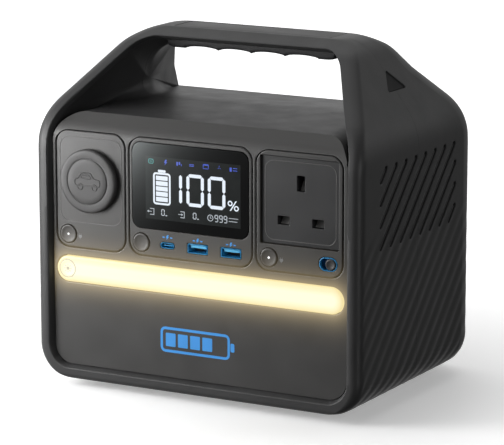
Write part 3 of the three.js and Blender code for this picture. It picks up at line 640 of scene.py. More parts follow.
CASE_FRONT = front_outline(0, 0, 0, 0)
CASE_SIDE = rounded_outline([
    (-DEPTH / 2, CASE_BOTTOM, 3),
    (DEPTH / 2, CASE_BOTTOM, 3),
    (DEPTH / 2, SLOPE_START_Z, SHOULDER_RADIUS),
    (SLOPE_END_Y, SLOPE_END_Z, 20),
    (HANDLE_TOP_HALF, HEIGHT, 1.5),
    (-HANDLE_TOP_HALF, HEIGHT, 1.5),
    (-SLOPE_END_Y, SLOPE_END_Z, 20),
    (-DEPTH / 2, SLOPE_START_Z, SHOULDER_RADIUS),
])
EDGE_STEPS = 8
SIDE_PIECES = 112
LEVEL_STEP = 1.4


def case_depth_at(z):
    return reach_at(CASE_SIDE, max(CASE_BOTTOM + 3, min(HEIGHT, z)))


def rib_depth(y, z):
    """How far the ribbed lower side lies inside the smooth one: zero along the line of each slot."""
    phase = (y - (z - SLOT_Z) / math.tan(LEAN) - SLOT_FIRST) / SLOT_PITCH
    fade = max(0, min(1, (112 - z) / 16))
    wave = (1 - math.cos(2 * math.pi * phase)) / 2
    return RIB_DEPTH * wave ** 1.3 * fade * fade * (3 - 2 * fade)


def split_edge(start, end, pieces):
    return [start.lerp(end, k / pieces) for k in range(1, pieces)]


def case_ring(z):
    """Level slice through the outside of the case, with fine points along both sides."""
    half, depth = reach_at(CASE_FRONT, z), reach_at(CASE_SIDE, z)
    rear = min(REAR_EDGE_RADIUS, depth * 0.55)
    arcs = rounded_outline([
        (-half, -depth, FRONT_EDGE_RADIUS), (half, -depth, FRONT_EDGE_RADIUS),
        (half, depth, rear), (-half, depth, rear),
    ], EDGE_STEPS)
    step = EDGE_STEPS + 1
    corners = [arcs[i * step:(i + 1) * step] for i in range(4)]
    ring = []
    for i, pieces in enumerate((6, SIDE_PIECES, 6, SIDE_PIECES)):
        ring += corners[i] + split_edge(corners[i][-1], corners[(i + 1) % 4][0], pieces)
    normals = normals_of(ring)
    sunk = [p - n * rib_depth(p.y, z) * n.x ** 16 for p, n in zip(ring, normals)]
    return ring_z(sunk, z)


def case_blank():
    marks = sorted(p.y for p in [*CASE_FRONT, *CASE_SIDE])
    marks += [CASE_BOTTOM + LEVEL_STEP * k for k in range(1, int((HEIGHT - CASE_BOTTOM) / LEVEL_STEP))]
    levels = []
    for z in sorted(marks):
        if not levels or z - levels[-1] > 0.12:
            levels.append(z)
    levels[-1] = HEIGHT
    return loft("case blank", [case_ring(z) for z in levels])


def rim_points(point, normal, facing):
    """Outer and inner point of the bevel inside the rim."""
    outer = point + normal * RIM_STEP
    face = facing * case_depth_at(outer.y)
    return (Vector((outer.x, face, outer.y)), Vector((point.x, face - facing * RIM_DROP, point.y)))


def rim_cutter(name, rim, facing):
    """Ring that cuts the bevel inside the rim, with a rounded upper edge."""
    outline = subdivided(front_outline(**rim), 3)
    sections = []
    for point, normal in zip(outline, normals_of(outline)):
        outer, inner = rim_points(point, normal, facing)
        flat = point + normal * (RIM_STEP + RIM_ROUND)
        start = Vector((flat.x, facing * (case_depth_at(flat.y) + 0.01), flat.y))
        end = outer.lerp(inner, RIM_ROUND / RIM_STEP)
        bend = [start.lerp(outer, t).lerp(outer.lerp(end, t), t) for t in (0, 0.25, 0.5, 0.75, 1)]
        clear = max(abs(start.y), case_depth_at(inner.z)) + 2
        above = Vector((start.x, facing * clear, start.z))
        inside = Vector((inner.x - normal.x, facing * clear, inner.z - normal.y))
        sections.append([inner, *reversed(bend), above, inside])
    return loft(name, sections, looped=True)


FRONT_FACE = {"rim": FRONT_RIM, "top": DECK_FRONT_Z, "bend": 156, "corner": 18, "facing": -1}
REAR_FACE = {"rim": REAR_RIM, "top": DECK_REAR_Z, "bend": 151, "corner": 4, "facing": 1}
OVERLAP = 0.1  # how far neighbouring cutters reach into each other
CREASE = 5  # half width of the soft crease in the middle of the opening
CORNER_SWEEP = math.radians(76)  # turn of the arc from the deck down to the rim
OPENING_STEPS = 14


def evenly(path, count):
    """Points at equal steps along a path of straight pieces, without its last point."""
    lengths = [(b - a).length for a, b in zip(path, path[1:])]
    step = sum(lengths) / count
    points, piece, passed = [], 0, 0
    for k in range(count):
        while passed + lengths[piece] < step * k:
            passed += lengths[piece]
            piece += 1
        points.append(path[piece].lerp(path[piece + 1], (step * k - passed) / lengths[piece]))
    return points


def opening_ring(deck, low_corner, side, high_corner, top):
    """Closed ring from the five paths of its right half."""
    half = []
    for path, count in ((deck, 20), (low_corner, 24), (side, 36), (high_corner, 24), (top, 10)):
        half += evenly(path, count)
    return [*half, top[-1], *(Vector((-p.x, p.y, p.z)) for p in reversed(half[1:]))]


def opening_waist():
    """Narrowest ring of the space under the handle, in the middle of the case."""
    arcs = rounded_outline([
        (-OPENING_HALF, DECK_MIDDLE_Z, OPENING_LOW_RADIUS),
        (OPENING_HALF, DECK_MIDDLE_Z, OPENING_LOW_RADIUS),
        (OPENING_HALF, OPENING_TOP, OPENING_HIGH_RADIUS),
        (-OPENING_HALF, OPENING_TOP, OPENING_HIGH_RADIUS),
    ])
    points = [Vector((p.x, 0, p.y)) for p in arcs]
    low, high = points[ARC + 1:2 * (ARC + 1)], points[2 * (ARC + 1):3 * (ARC + 1)]
    return opening_ring([Vector((0, 0, DECK_MIDDLE_Z)), low[0]], low, [low[-1], high[0]], high,
                        [high[-1], Vector((0, 0, OPENING_TOP))])


def opening_mouth(face):
    """Ring where the space under the handle meets a face: over the panel, round its corner, up the rim."""
    rim, facing, deck = face["rim"], face["facing"], face["top"] - OVERLAP
    outline = front_outline(**rim)
    bevel = [rim_points(p, n, facing)[1] for p, n in zip(outline, normals_of(outline))]
    shoulder, high = bevel[2 * (ARC + 1):3 * (ARC + 1)], bevel[3 * (ARC + 1):4 * (ARC + 1)]
    profile = panel_profile(0, face["top"], face["bend"], 1)
    radius = face["corner"]
    start = WIDTH / 2 - rim["side"] - radius
    corner = []
    for k in range(ARC + 1):
        angle = CORNER_SWEEP * k / ARC
        z = deck - radius * (1 - math.cos(angle))
        corner.append(Vector((start + radius * math.sin(angle), facing * reach_at(profile, z), z)))
    side = [corner[-1], *(p for p in shoulder if p.z > corner[-1].z + 0.3), high[0]]
    edge = Vector((0, facing * DECK_SEAM_Y, deck))
    middle = Vector((0, high[-1].y, high[-1].z))
    return opening_ring([edge, corner[0]], corner, side, high, [high[-1], middle])


def handle_opening():
    """Space under the handle: narrowest in the middle of the case, flaring to both rims."""
    waist = opening_waist()
    rings = []
    for face in (FRONT_FACE, REAR_FACE):
        mouth = opening_mouth(face)
        far = [Vector((p.x, face["facing"] * DEPTH, p.z)) for p in mouth]
        flares = []
        for k in range(OPENING_STEPS, 0, -1):
            t = k / OPENING_STEPS
            soft = CREASE / FACE_Y
            share = (math.hypot(t, soft) - soft) / (math.hypot(1, soft) - soft)
            flares.append([
                (a.x + (b.x - a.x) * share, b.y * t, a.z + (b.z - a.z) * share)
                for a, b in zip(waist, mouth)
            ])
        side = [far, *flares]
        rings = [*side, waist] if face is FRONT_FACE else [*rings, *reversed(side)]
    return loft("handle opening", rings)


def face_outline(inset, face):
    """Outline of the opening that a face panel fills, below the deck."""
    top, radius = face["top"], face["corner"] - inset
    side = WIDTH / 2 - FRONT_RIM["side"] - inset
    low = CASE_BOTTOM + FRONT_RIM["bottom"] + inset
    return rounded_outline([
        (-side, low, BOTTOM_RADIUS - FRONT_RIM["bottom"]),
        (side, low, BOTTOM_RADIUS - FRONT_RIM["bottom"]),
        (side, top, radius),
        (-side, top, radius),
    ])


def slot_outline(middle_y, width, shift=0):
    """Rounded slot along a diagonal, as long as the rectangle of slots allows."""
    run = math.tan(LEAN)
    low = max(-SLOT_HALF_Z, (SLOT_Y - SLOT_HALF_Y - middle_y) * run)
    high = min(SLOT_HALF_Z, (SLOT_Y + SLOT_HALF_Y - middle_y) * run)
    missing = max(0, SLOT_SHORTEST - (high - low)) * math.copysign(1, middle_y - SLOT_Y)
    half = (high - low + abs(missing)) / math.sin(LEAN) / 2 - (SLOT_WIDTH - width) / 2
    rise = (low + high + missing) / 2
    middle = Vector((middle_y + (rise - missing / 2) / run, SLOT_Z + rise))
    middle += Vector((math.sin(LEAN), -math.cos(LEAN))) * shift
    outline = rectangle(-half, half, -width / 2, width / 2, width / 2 - 0.01, 8)
    turn = [(p.x * math.cos(LEAN) - p.y * math.sin(LEAN), p.x * math.sin(LEAN) + p.y * math.cos(LEAN))
            for p in outline]
    return [Vector(p) + middle for p in turn]


def slot_middles():
    return [SLOT_FIRST + k * SLOT_PITCH for k in range(11)]


def slot_cutters():
    """Slots through both sides, each with a rounded lip."""
    lip, skin, inner = 0.5, WIDTH / 2, WIDTH / 2 - 10
    cutters = []
    for middle in slot_middles():
        outline = slot_outline(middle, SLOT_WIDTH - 2 * lip)
        rings = [ring_x(grown(outline, 0.4 * lip), inner)]
        for depth, inset in reversed(LIP):
            rings.append(ring_x(grown(outline, lip * (0.4 + inset)), skin - lip * depth))
        rings.append(ring_x(grown(outline, lip * 1.42), skin + 0.4))
        cutters.append(loft("slot", rings))
        cutters.append(loft("slot", [[(-x, y, z) for x, y, z in ring] for ring in rings]))
    return merged("slots", cutters)


def dent_ring(side, rise, grow):
    """Triangle parallel to a sloping side, at a height over its surface."""
    angle, base_z = math.atan(SIDE_RUN), 182.8
    triangle = rounded_outline([(-15.5, 0, 0.8), (7.5, 0, 0.8), (-4, 13, 0.8)], 4)
    ring = []
    for p in grown(triangle, grow):
        x = slope_half_width(base_z) - p.y * math.sin(angle) + rise * math.cos(angle)
        ring.append((side * x, p.x, base_z + p.y * math.cos(angle) + rise * math.sin(angle)))
    return ring


def triangle_cutters():
    """Triangular dent in each sloping side."""
    steps = ((3, 0.5), (0.05, 0.5), (-0.3, 0.2), (-1.2, 0.1))
    dents = [loft("dent", [dent_ring(side, *step) for step in steps]) for side in (-1, 1)]
    return merged("dents", dents)


def cavity_outline(wall):
    half, low = WIDTH / 2 - wall, CASE_BOTTOM + WALL
    radius = max(BOTTOM_RADIUS - wall, 6)
    return rounded_outline([
        (-half, low, radius), (half, low, radius), (half, CAVITY_TOP, 6), (-half, CAVITY_TOP, 6),
    ])


def cavity_cutters():
    """Hollow of the case: narrower at the rear, where the corners are well rounded."""
    neck, back = REAR_RIM["side"] + 0.1, DECK_SEAM_Y + RIM_DROP
    return [
        along_y("cavity", cavity_outline(WALL), -back, DEPTH / 2 - REAR_EDGE_RADIUS + 3),
        along_y("rear neck", cavity_outline(neck), 0, back),
        along_y("front mouth", face_outline(0, FRONT_FACE), -DEPTH, -DECK_SEAM_Y),
        along_y("rear mouth", face_outline(0, REAR_FACE), DECK_SEAM_Y, DEPTH),
    ]


def handle_seats():
    cover_low, cover_high = box_mm("handle_cover")
    grip_low, grip_high = box_mm("handle_grip")
    gap = Vector((GAP, GAP, GAP))
    above, below = Vector((0, 0, 1)), Vector((0, 0, 5))
    return [
        block("cover seat", cover_low - gap, cover_high + gap + above),
        block("grip seat", grip_low - gap - below, grip_high + gap),
    ]


def build_case():
    shell = cut(
        case_blank(), handle_opening(), *cavity_cutters(),
        rim_cutter("front rim", FRONT_RIM, -1), rim_cutter("rear rim", REAR_RIM, 1),
        slot_cutters(), triangle_cutters(), *handle_seats(),
    )
    rear = shell.copy()
    rear.data = shell.data.copy()
    bpy.context.scene.collection.objects.link(rear)
    wide = Vector((WIDTH, DEPTH, HEIGHT + 1))
    seam = CASE_SEAM_Y
    keep_inside(shell, block("front half", (-WIDTH, -DEPTH, -1), (wide.x, seam - SEAM_GAP / 2, wide.z)))
    keep_inside(rear, block("rear half", (-WIDTH, seam + SEAM_GAP / 2, -1), wide))
    for made, node in ((shell, "front_case"), (rear, "rear_case")):
        finish_piece(weighted(smooth(made, 28)), node + "_shell", MATERIALS["case"], nodes=[node])


def side_rings(side, steps):
    """Rings on one side of the case from pairs of an outline and its depth below the skin."""
    return [[(side * (WIDTH / 2 - drop), p.x, p.y) for p in outline] for outline, drop in steps]


def build_louvres():
    """Blades inside the side slots, set a little below the skin."""
    width, depth, sunk, shift = 1.7, 0.9, 1.0, 0.85
    steps = ((sunk + depth, 0), (sunk + 0.4, 0), (sunk + 0.12, 0.12), (sunk, 0.4))
    for name, side in SIDES.items():
        blades = []
        for middle in slot_middles():
            rings = [(slot_outline(middle, width - 2 * inset, shift), drop) for drop, inset in steps]
            blades.append(loft("blade", side_rings(side, rings)))
        finish_piece(smooth(merged("blades", blades)), f"{name}_louvres", MATERIALS["case"])


def build_slot_shade_liners():
    """Near-black screen behind the slots of each side, with a sleeve round each slot: painted shade for the
    dark inside of the slots.
    """
    # painted shade: near-black sleeves line each slot and a near-black sheet sits behind them
    near, far, screen_near, thick = 0.75, 6, 4.6, 0.6
    outline = rectangle(SLOT_Y - SLOT_HALF_Y - 8, SLOT_Y + SLOT_HALF_Y + 8,
                        SLOT_Z - SLOT_HALF_Z - 4, SLOT_Z + SLOT_HALF_Z + 4, 4)
    for name, side in SIDES.items():
        sleeves = []
        for middle in slot_middles():
            wide, narrow = slot_outline(middle, SLOT_WIDTH + 0.5), slot_outline(middle, SLOT_WIDTH - 0.34)
            steps = ((narrow, near), (narrow, far), (wide, far), (wide, near))
            sleeves.append(loft("sleeve", side_rings(side, steps), looped=True))
        reach = WIDTH / 2 - screen_near
        screen = along_x("screen", outline, *sorted((side * reach, side * (reach - thick))))
        finish_piece(smooth(merged("slot shade liner", [screen, *sleeves])), f"{name}_slot_shade_liner",
                     MATERIALS["recess"])


def build_triangle_inlays():
    """Dark triangle on the floor of the dent in each sloping side."""
    steps = ((-1.5, 0), (-0.85, 0), (-0.7, 0.15))
    for name, side in SIDES.items():
        inlay = loft("inlay", [dent_ring(side, rise, -0.25 - bevel) for rise, bevel in steps])
        finish_piece(smooth(inlay), f"{name}_triangle_inlay", MATERIALS["recess"])


# ------------------------------------------------------------ handle

def build_handle_cover():
    low, high = box_mm("handle_cover")
    lip = 0.7
    rings = [ring_z(rectangle(low.x, high.x, low.y, high.y, 2, 6), low.z)]
    for depth, inset in reversed(LIP):
        step = lip * inset
        outline = rectangle(low.x + step, high.x - step, low.y + step, high.y - step, 2.2 - step, 6)
        rings.append(ring_z(outline, high.z - lip * depth))
    finish_piece(smooth(loft("cover", rings)), "handle_cover_skin", MATERIALS["cap"],
                 nodes=["handle_cover"])


def build_handle_grip():
    """Soft grip with four finger hollows underneath and rounded ends."""
    low, high = box_mm("handle_grip")
    pitch, scallop, end_length, end_rise, count = 22.5, 1.5, 6, 1.4, 224
    rings = []
    for k in range(count + 1):
        x = low.x + (high.x - low.x) * k / count
        ends = min(1, (high.x - abs(x)) / end_length)
        hollow = math.sqrt(abs(math.sin(math.pi * x / pitch))) if abs(x) < 2 * pitch else 0
        drop = low.z + end_rise * (1 - math.sqrt(max(0, 1 - (1 - ends) ** 2))) + scallop * hollow
        profile = rounded_outline([
            (low.y, drop, 2.2), (high.y, drop, 2.2), (high.y, high.z, 0.4), (low.y, high.z, 0.4),
        ], 6)
        rings.append(ring_x(profile, x))
    finish_piece(smooth(loft("grip", rings), 40), "handle_grip_pad", MATERIALS["grip"],
                 nodes=["handle_grip"])


# ------------------------------------------------------------ face panels

def panel_profile(offset, top, bend, facing):
    """Side outline of a face panel: upright, then bending back to meet the deck."""
    face = FACE_Y - offset
    points = rounded_outline([
        (face, 0, 0.01),
        (face, bend - offset * 0.4, 14),
        (DECK_SEAM_Y + SEAM_GAP / 2, top - offset * 1.3, 0.01),
        (DECK_SEAM_Y + SEAM_GAP / 2, 0, 0.01),
    ])
    turned = [Vector((p.x * facing, p.y)) for p in points]
    return turned if facing > 0 else turned[::-1]


def face_panel(face):
    top, bend, facing = face["top"], face["bend"], face["facing"]
    near, far = (-DEPTH, 0) if facing < 0 else (0, DEPTH)
    blank = along_y("panel", face_outline(GAP, face), near, far)
    keep_inside(blank, along_x("outer", panel_profile(0, top, bend, facing), -WIDTH / 2, WIDTH / 2))
    return cut(blank, along_x("inner", panel_profile(PANEL, top, bend, facing), -WIDTH / 2, WIDTH / 2))


def module_outline(name, grow=0):
    low, high = MODULES[name]
    return box_outline(low, high, MODULE_RADIUS + grow, grow)


def light_outline(grow=0, steps=ARC):
    low, high = box_mm("light_diffuser")
    return box_outline(low, high, (high.z - low.z) / 2 + grow - 0.01, grow, steps)


def hole_round(node, lip, front=FRONT):
    """Cutter for the round hole in which a button or a socket sits."""
    low, high = box_mm(node)
    x, z = centre_of(node)
    radius = (high.x - low.x) / 2 + GAP
    return lipped_hole("hole", lambda inset: circle(x, z, radius - inset), front, FRONT + 6, lip)


def build_front_panel():
    holes = [lipped_hole("bay", module_outline(name, GAP * 1.6), FRONT, FRONT + 6, 0.7) for name in MODULES]
    holes.append(lipped_hole("bar", light_outline(GAP), FRONT, FRONT + 6, 0.8))
    front = cut(face_panel(FRONT_FACE), *holes)
    finish_piece(weighted(smooth(front)), "front_panel_skin", MATERIALS["panel"],
                 nodes=["front_panel"])


def screw_sinks():
    """Sunk hole and shank hole for each screw of the rear panel."""
    cutters = []
    for k in range(1, 5):
        x, z = centre_of(f"rear_screw_{k}")
        cutters.append(along_y("sink", circle(x, z, 3.6), FACE_Y - 1.5, FACE_Y + 1))
        cutters.append(along_y("shank hole", circle(x, z, 1.9, 32), FACE_Y - PANEL - 1, FACE_Y))
    return cutters


def build_rear_panel():
    """Rear panel with a framed seat for the flap and a bore for the inlet behind it."""
    low, high = box_mm("dc_inlet_flap")
    inside = FACE_Y - PANEL
    seat_frame = block("seat frame", (-21, inside - 2, 101), (21, inside + 0.5, 135))
    seat = block("seat", (low.x - GAP, high.y - 2.8, low.z - 0.5), (high.x + GAP, FACE_Y + 1, high.z + GAP))
    bore = along_y("bore", circle(*centre_of("dc_inlet"), 6.2), FACE_Y - 9, FACE_Y + 1)
    rear = keep_inside(face_panel(REAR_FACE), case_blank())
    combine(rear, [seat_frame], "UNION")
    cut(rear, seat, bore, *screw_sinks())
    finish_piece(weighted(smooth(rear)), "rear_panel_skin", MATERIALS["panel"],
                 nodes=["rear_panel"])


# ------------------------------------------------------------ car socket module

def box_hole(node, radius, lip, gap=GAP):
    """Cutter for the hole in a plate in which a CAD node sits."""
    return lipped_hole(node, box_outline(*box_mm(node), radius, gap), FRONT, FRONT + 5, lip)


def build_plate(name, *holes):
    plate = lipped_plate("plate", module_outline(name), FRONT, FRONT + PANEL, 0.7)
    cut(plate, *holes)
    finish_piece(weighted(smooth(plate)), f"{name}_plate_skin", MATERIALS["panel"],
                 nodes=[f"{name}_plate"])


def build_plates():
    """The three inset plates and the raised line on the plate of the car socket."""
    build_plate("car", hole_round("car_socket_barrel", 0.4), hole_round("car_button", 0.35))
    # raised line in a lighter tint: painted highlight along its ridge
    line = ridge(rectangle(-92.8, -50.7, 100.3, 151.6, 6.5), 0.6, FRONT - 0.14, FRONT + 0.02)
    finish_piece(smooth(line, 50), "car_plate_line", MATERIALS["line"])

    ports = [box_hole(node, 1.9 if node == "usb_c_port" else 0.5, 0.3, 0.35) for node in PORTS]
    build_plate("display", box_hole("display_glass", 6, 0.35), *ports, hole_round("display_button", 0.35))

    slot_low, slot_high = box_mm("saver_slot")
    round_end = (slot_high.z - slot_low.z) / 2 + GAP - 0.02
    build_plate("ac", box_hole("ac_socket_face", 0.9, 0.4), box_hole("saver_slot", round_end, 0.35),
                hole_round("ac_button", 0.35))


PORTS = ("usb_c_port", "usb_a_port_1", "usb_a_port_2")


def band(outline, width, front, rear):
    """Closed band of even width along an outline, facing -Y."""
    outer, inner = grown(outline, width / 2), grown(outline, -width / 2)
    rings = [[(a.x, front, a.y), (b.x, front, b.y), (b.x, rear, b.y), (a.x, rear, a.y)]
             for a, b in zip(outer, inner)]
    return loft("band", rings, looped=True)


def ridge(outline, width, front, rear):
    """Low rounded ridge along an outline, facing -Y."""
    rings = []
    inner, outer = grown(outline, -width / 2), grown(outline, width / 2)
    for a, b in zip(outer, inner):
        section = [(a.x, rear, a.y)]
        for t, rise in ((0.0, 0.3), (0.15, 0.75), (0.5, 1), (0.85, 0.75), (1, 0.3)):
            p = a.lerp(b, t)
            section.append((p.x, rear + (front - rear) * rise, p.y))
        section.append((b.x, rear, b.y))
        rings.append(section)
    return loft("ridge", rings, looped=True)


def decal(name, outlines, front, thick=0.06):
    """Thin printed or lit shapes, each a closed flat solid facing -Y."""
    parts = [along_y("shape", outline, front, front + thick) for outline in outlines]
    return merged(name, parts)


def build_cap():
    low, high = box_mm("car_socket_cap")
    x, z = centre_of("car_socket_cap")
    radius = (high.x - low.x) / 2
    bore = 10.3
    profile = [
        (0.01, high.y), (bore - 1.6, high.y), (bore - 0.4, high.y - 0.3), (bore, high.y - 1.2),
        (bore, FRONT + 6), (bore - 0.5, FRONT + 5.4), (bore - 0.5, FRONT + 4.4), (bore, FRONT + 3.8),
        (bore, FRONT - GAP), (radius - 0.5, FRONT - GAP), (radius, FRONT - GAP - 0.4),
        (radius, FRONT - 2.6), (radius - 0.25, FRONT - 3.15), (radius - 0.8, FRONT - 3.5),
        (radius - 1.8, FRONT - 3.62), (radius - 4.6, FRONT - 3.66), (radius - 4.95, FRONT - 3.6),
        (radius - 5.15, FRONT - 3.3), (radius - 5.55, FRONT - 3.3), (radius - 5.8, FRONT - 3.55),
        (radius - 6.2, FRONT - 3.68), (radius - 9, FRONT - 3.72), (0.01, FRONT - 3.74),
    ]
    cap = smooth(lathe_y("cap", profile, x, z), 35)
    finish_piece(cap, "car_socket_cap_skin", MATERIALS["cap"], "car_socket_cap_body",
                 nodes=["car_socket_cap"])
    shapes = merged("car sign", [
        ridge(body, 0.75, low.y, FRONT - 3.7) for body in car_pictogram(x, z)
    ])
    finish_piece(smooth(shapes, 40), "car_sign", MATERIALS["cap"], "car_socket_cap_body")


def car_pictogram(x, z):
    """Side view of a plain car: body line, window and two wheels."""
    body = [(-8.5, -2.4, 1), (8.5, -2.4, 1), (8.7, 1.2, 1.2), (4.6, 1.9, 1.5), (2.2, 5.2, 1.2),
            (-4.0, 5.2, 1.5), (-6.4, 1.7, 1.5), (-8.7, 1.2, 1.2)]
    window = [(-4.7, 2.0, 0.4), (2.9, 2.0, 0.4), (1.2, 3.9, 0.5), (-3.4, 3.9, 0.5)]
    moved = [rounded_outline([(x + u, z + v, r) for u, v, r in shape], 5) for shape in (body, window)]
    wheels = [circle(x + u, z - 3.2, 1.7, 28) for u in (-4.9, 4.9)]
    return [*moved, *wheels]


# ------------------------------------------------------------ buttons and switch

def build_button(node, material="panel", led=False):
    """Push button with a dished face, and a small lamp in its middle where it has one."""
    low, high = box_mm(node)
    x, z = centre_of(node)
    body = node + "_body"
    radius, front = (high.x - low.x) / 2, low.y
    profile = [
        (0.01, high.y), (1.9, high.y), (2, high.y - 0.1), (2, FRONT + 4), (radius, FRONT + 4),
        (radius, front + 0.45), (radius - 0.12, front + 0.15), (radius - 0.42, front + 0.02),
        (radius - 0.8, front), (radius - 1.4, front + 0.14), (radius * 0.5, front + 0.3),
        (0.01, front + 0.34),
    ]
    made = smooth(lathe_y(node, profile, x, z, 64), 35)
    finish_piece(made, node + "_skin", MATERIALS[material], body, nodes=[node])
    if led:
        dot = [(0.01, front + 0.6), (0.62, front + 0.6), (0.62, front + 0.2), (0.5, front + 0.1),
               (0.01, front + 0.04)]
        finish_piece(smooth(lathe_y("led", dot, x, z, 24)), node + "_led", MATERIALS["led"], body)


def plug_pictogram(x, z, size):
    """Plain two-pin plug seen from the side."""
    shapes = [[(-0.5, -0.15), (0.5, -0.15), (0.5, 0.2), (-0.5, 0.2)],
              [(-0.3, 0.24), (-0.18, 0.24), (-0.18, 0.6), (-0.3, 0.6)],
              [(0.18, 0.24), (0.3, 0.24), (0.3, 0.6), (0.18, 0.6)],
              [(-0.3, -0.45), (0.3, -0.45), (0.5, -0.19), (-0.5, -0.19)],
              [(-0.07, -0.8), (0.07, -0.8), (0.07, -0.48), (-0.07, -0.48)]]
    return [polygon(x, z, shape, size) for shape in shapes]


def build_controls():
    build_button("car_button", led=True)
    build_button("display_button")
    build_button("ac_button", led=True)
    build_button("light_button", "lens")
    signs = []
    for node in ("car_button", "ac_button"):
        x, z = centre_of(node)
        signs += plug_pictogram(box_mm(node)[1].x + 2.6, z - 0.6, 2.4)
    finish_piece(decal("signs", signs, FRONT - 0.04, 0.1), "outlet_signs", MATERIALS["pale print"])


def build_light_sign():
    """Small sun and a ring on the button of the light bar."""
    low, high = box_mm("light_button")
    x, z = centre_of("light_button")
    rays = [circle(x, z, 1.0, 24)]
    for k in range(8):
        turn = 2 * math.pi * k / 8
        along = Vector((math.cos(turn), math.sin(turn)))
        across = Vector((-along.y, along.x)) * 0.16
        near, far = Vector((x, z)) + along * 1.6, Vector((x, z)) + along * 2.5
        rays.append([near - across, far - across, far + across, near + across])
    ring = band(circle(x, z, (high.x - low.x) / 2 - 0.15), 0.5, low.y + 0.05, low.y + 0.8)
    sign = merged("sun sign", [decal("rays", rays, low.y + 0.15, 0.3), ring])
    finish_piece(sign, "light_button_sign", MATERIALS["lens sign"], "light_button_body")


def build_saver_slot():
    low, high = box_mm("saver_slot")
    x, z = centre_of("saver_knob")[0], (low.z + high.z) / 2
    outline = box_outline(low, high, (high.z - low.z) / 2 - 0.02)
    cup = lipped_plate("cup", outline, FRONT + 0.02, FRONT + 6, 0.25)
    pocket = along_y("pocket", outline(0.55), FRONT - 1, FRONT + 4)
    channel = along_y("channel", rectangle(x - 5.1, x + 1.7, z - 1.25, z + 1.25, 1), FRONT + 3, FRONT + 7)
    finish_piece(weighted(smooth(cut(cup, pocket, channel))), "saver_slot_skin",
                 MATERIALS["blue"], nodes=["saver_slot"])


def build_saver_knob():
    low, high = box_mm("saver_knob")
    x, z = centre_of("saver_knob")
    radius, front, rear = (high.x - low.x) / 2, low.y, FRONT + 3.6
    profile = [
        (0.01, rear), (radius, rear), (radius, front + 0.5), (radius - 0.1, front + 0.2),
        (radius - 0.4, front + 0.02), (radius - 0.8, front), (radius - 1.2, front + 0.16),
        (0.01, front + 0.34),
    ]
    knob = smooth(lathe_y("knob", profile, x, z, 56), 35)
    stem = block("stem", (x - 1, rear - 0.3, z - 0.9), (x + 1, FRONT + 8, z + 0.9))
    combine(knob, [stem], "UNION")
    finish_piece(smooth(knob, 35), "saver_knob_skin", MATERIALS["dark"], "saver_knob_body",
                 nodes=["saver_knob"])


# ------------------------------------------------------------ display

def segment_bar(x, z, length, width, upright, slant=0.5):
    """Lit bar with pointed ends, centred at (x, z)."""
    half, point = length / 2, width * slant
    shape = [(-half, 0), (-half + point, -width / 2), (half - point, -width / 2), (half, 0),
             (half - point, width / 2), (-half + point, width / 2)]
    return [Vector((x - v, z + u)) if upright else Vector((x + u, z + v)) for u, v in shape]


SEGMENTS = {"0": "abcdef", "1": "bc", "9": "abcdfg"}  # the digits that the display shows


def digit(character, left, low, width, height, stroke, gap=0.18):
    """Seven-segment digit in a box."""
    right, middle, high = left + width, low + height / 2, low + height
    inner = width - stroke - gap * 2
    side = height / 2 - stroke / 2 - gap
    at = {
        "a": ((left + right) / 2, high - stroke / 2, inner, False),
        "g": ((left + right) / 2, middle, inner, False),
        "d": ((left + right) / 2, low + stroke / 2, inner, False),
        "b": (right - stroke / 2, middle + height / 4 - stroke / 4, side, True),
        "c": (right - stroke / 2, middle - height / 4 + stroke / 4, side, True),
        "f": (left + stroke / 2, middle + height / 4 - stroke / 4, side, True),
        "e": (left + stroke / 2, middle - height / 4 + stroke / 4, side, True),
    }
    return [segment_bar(x, z, length, stroke, upright)
            for x, z, length, upright in (at[s] for s in SEGMENTS[character])]


def bar(left, right, low, high, radius=0.05):
    return rectangle(left, right, low, high, radius, 3)


def bars(z, *sides):
    """Bars from their left, right, lower and upper sides, with heights counted from z."""
    return [bar(left, right, z + low, z + high) for left, right, low, high in sides]


def polygon(x, z, corners, size=1):
    return [Vector((x + u * size, z + v * size)) for u, v in corners]


def build_display():
    low, high = box_mm("display_glass")
    glass = lipped_plate("glass", box_outline(low, high, 5.7), low.y, high.y, 0.3)
    finish_piece(weighted(smooth(glass)), "display_window", MATERIALS["glass"],
                 nodes=["display_glass"])
    lit = low.y - 0.03
    build_charge_number(lit)
    build_charge_level(lit)
    build_power_figures(lit)
    build_status_symbol(lit)
    build_mode_symbols(lit)


def build_charge_number(lit):
    """Large reading of 100 with a percent sign."""
    shapes = []
    for character, left, width in (("1", -21.2, 11.7), ("0", -6.6, 11.6), ("0", 7.6, 11.6)):
        shapes += digit(character, left, 117.3, width, 19, 2.0)
    shapes.append(polygon(22, 117.4, [(0, 0), (0.9, 0), (4.7, 5.9), (3.8, 5.9)]))
    rings = [band(circle(x, z, 1.25, 32), 0.75, lit, lit + 0.06) for x, z in ((22.3, 121.7), (26.4, 119.0))]
    finish_piece(merged("digits", [decal("digits", shapes, lit), *rings]), "charge_number",
                 MATERIALS["segment"])


def build_charge_level(lit):
    """Upright battery with five cells."""
    left, right, base, top = -28.9, -17.2, 116.4, 135.3
    case = band(bar(left + 0.55, right - 0.55, base + 0.55, top - 0.55, 1.3), 1.15, lit, lit + 0.06)
    cells = []
    rows, inset, space = 5, 1.9, 0.55
    tall = (top - base - 2 * inset - (rows - 1) * space) / rows
    for k in range(rows):
        z = base + inset + k * (tall + space)
        cells.append(bar(left + inset, right - inset, z, z + tall, 0.2))
    cells.append(bar(left + 3.3, right - 3.3, top + 0.15, top + 1.7, 0.5))
    finish_piece(merged("level", [case, decal("cells", cells, lit)]), "charge_level",
                 MATERIALS["segment"])


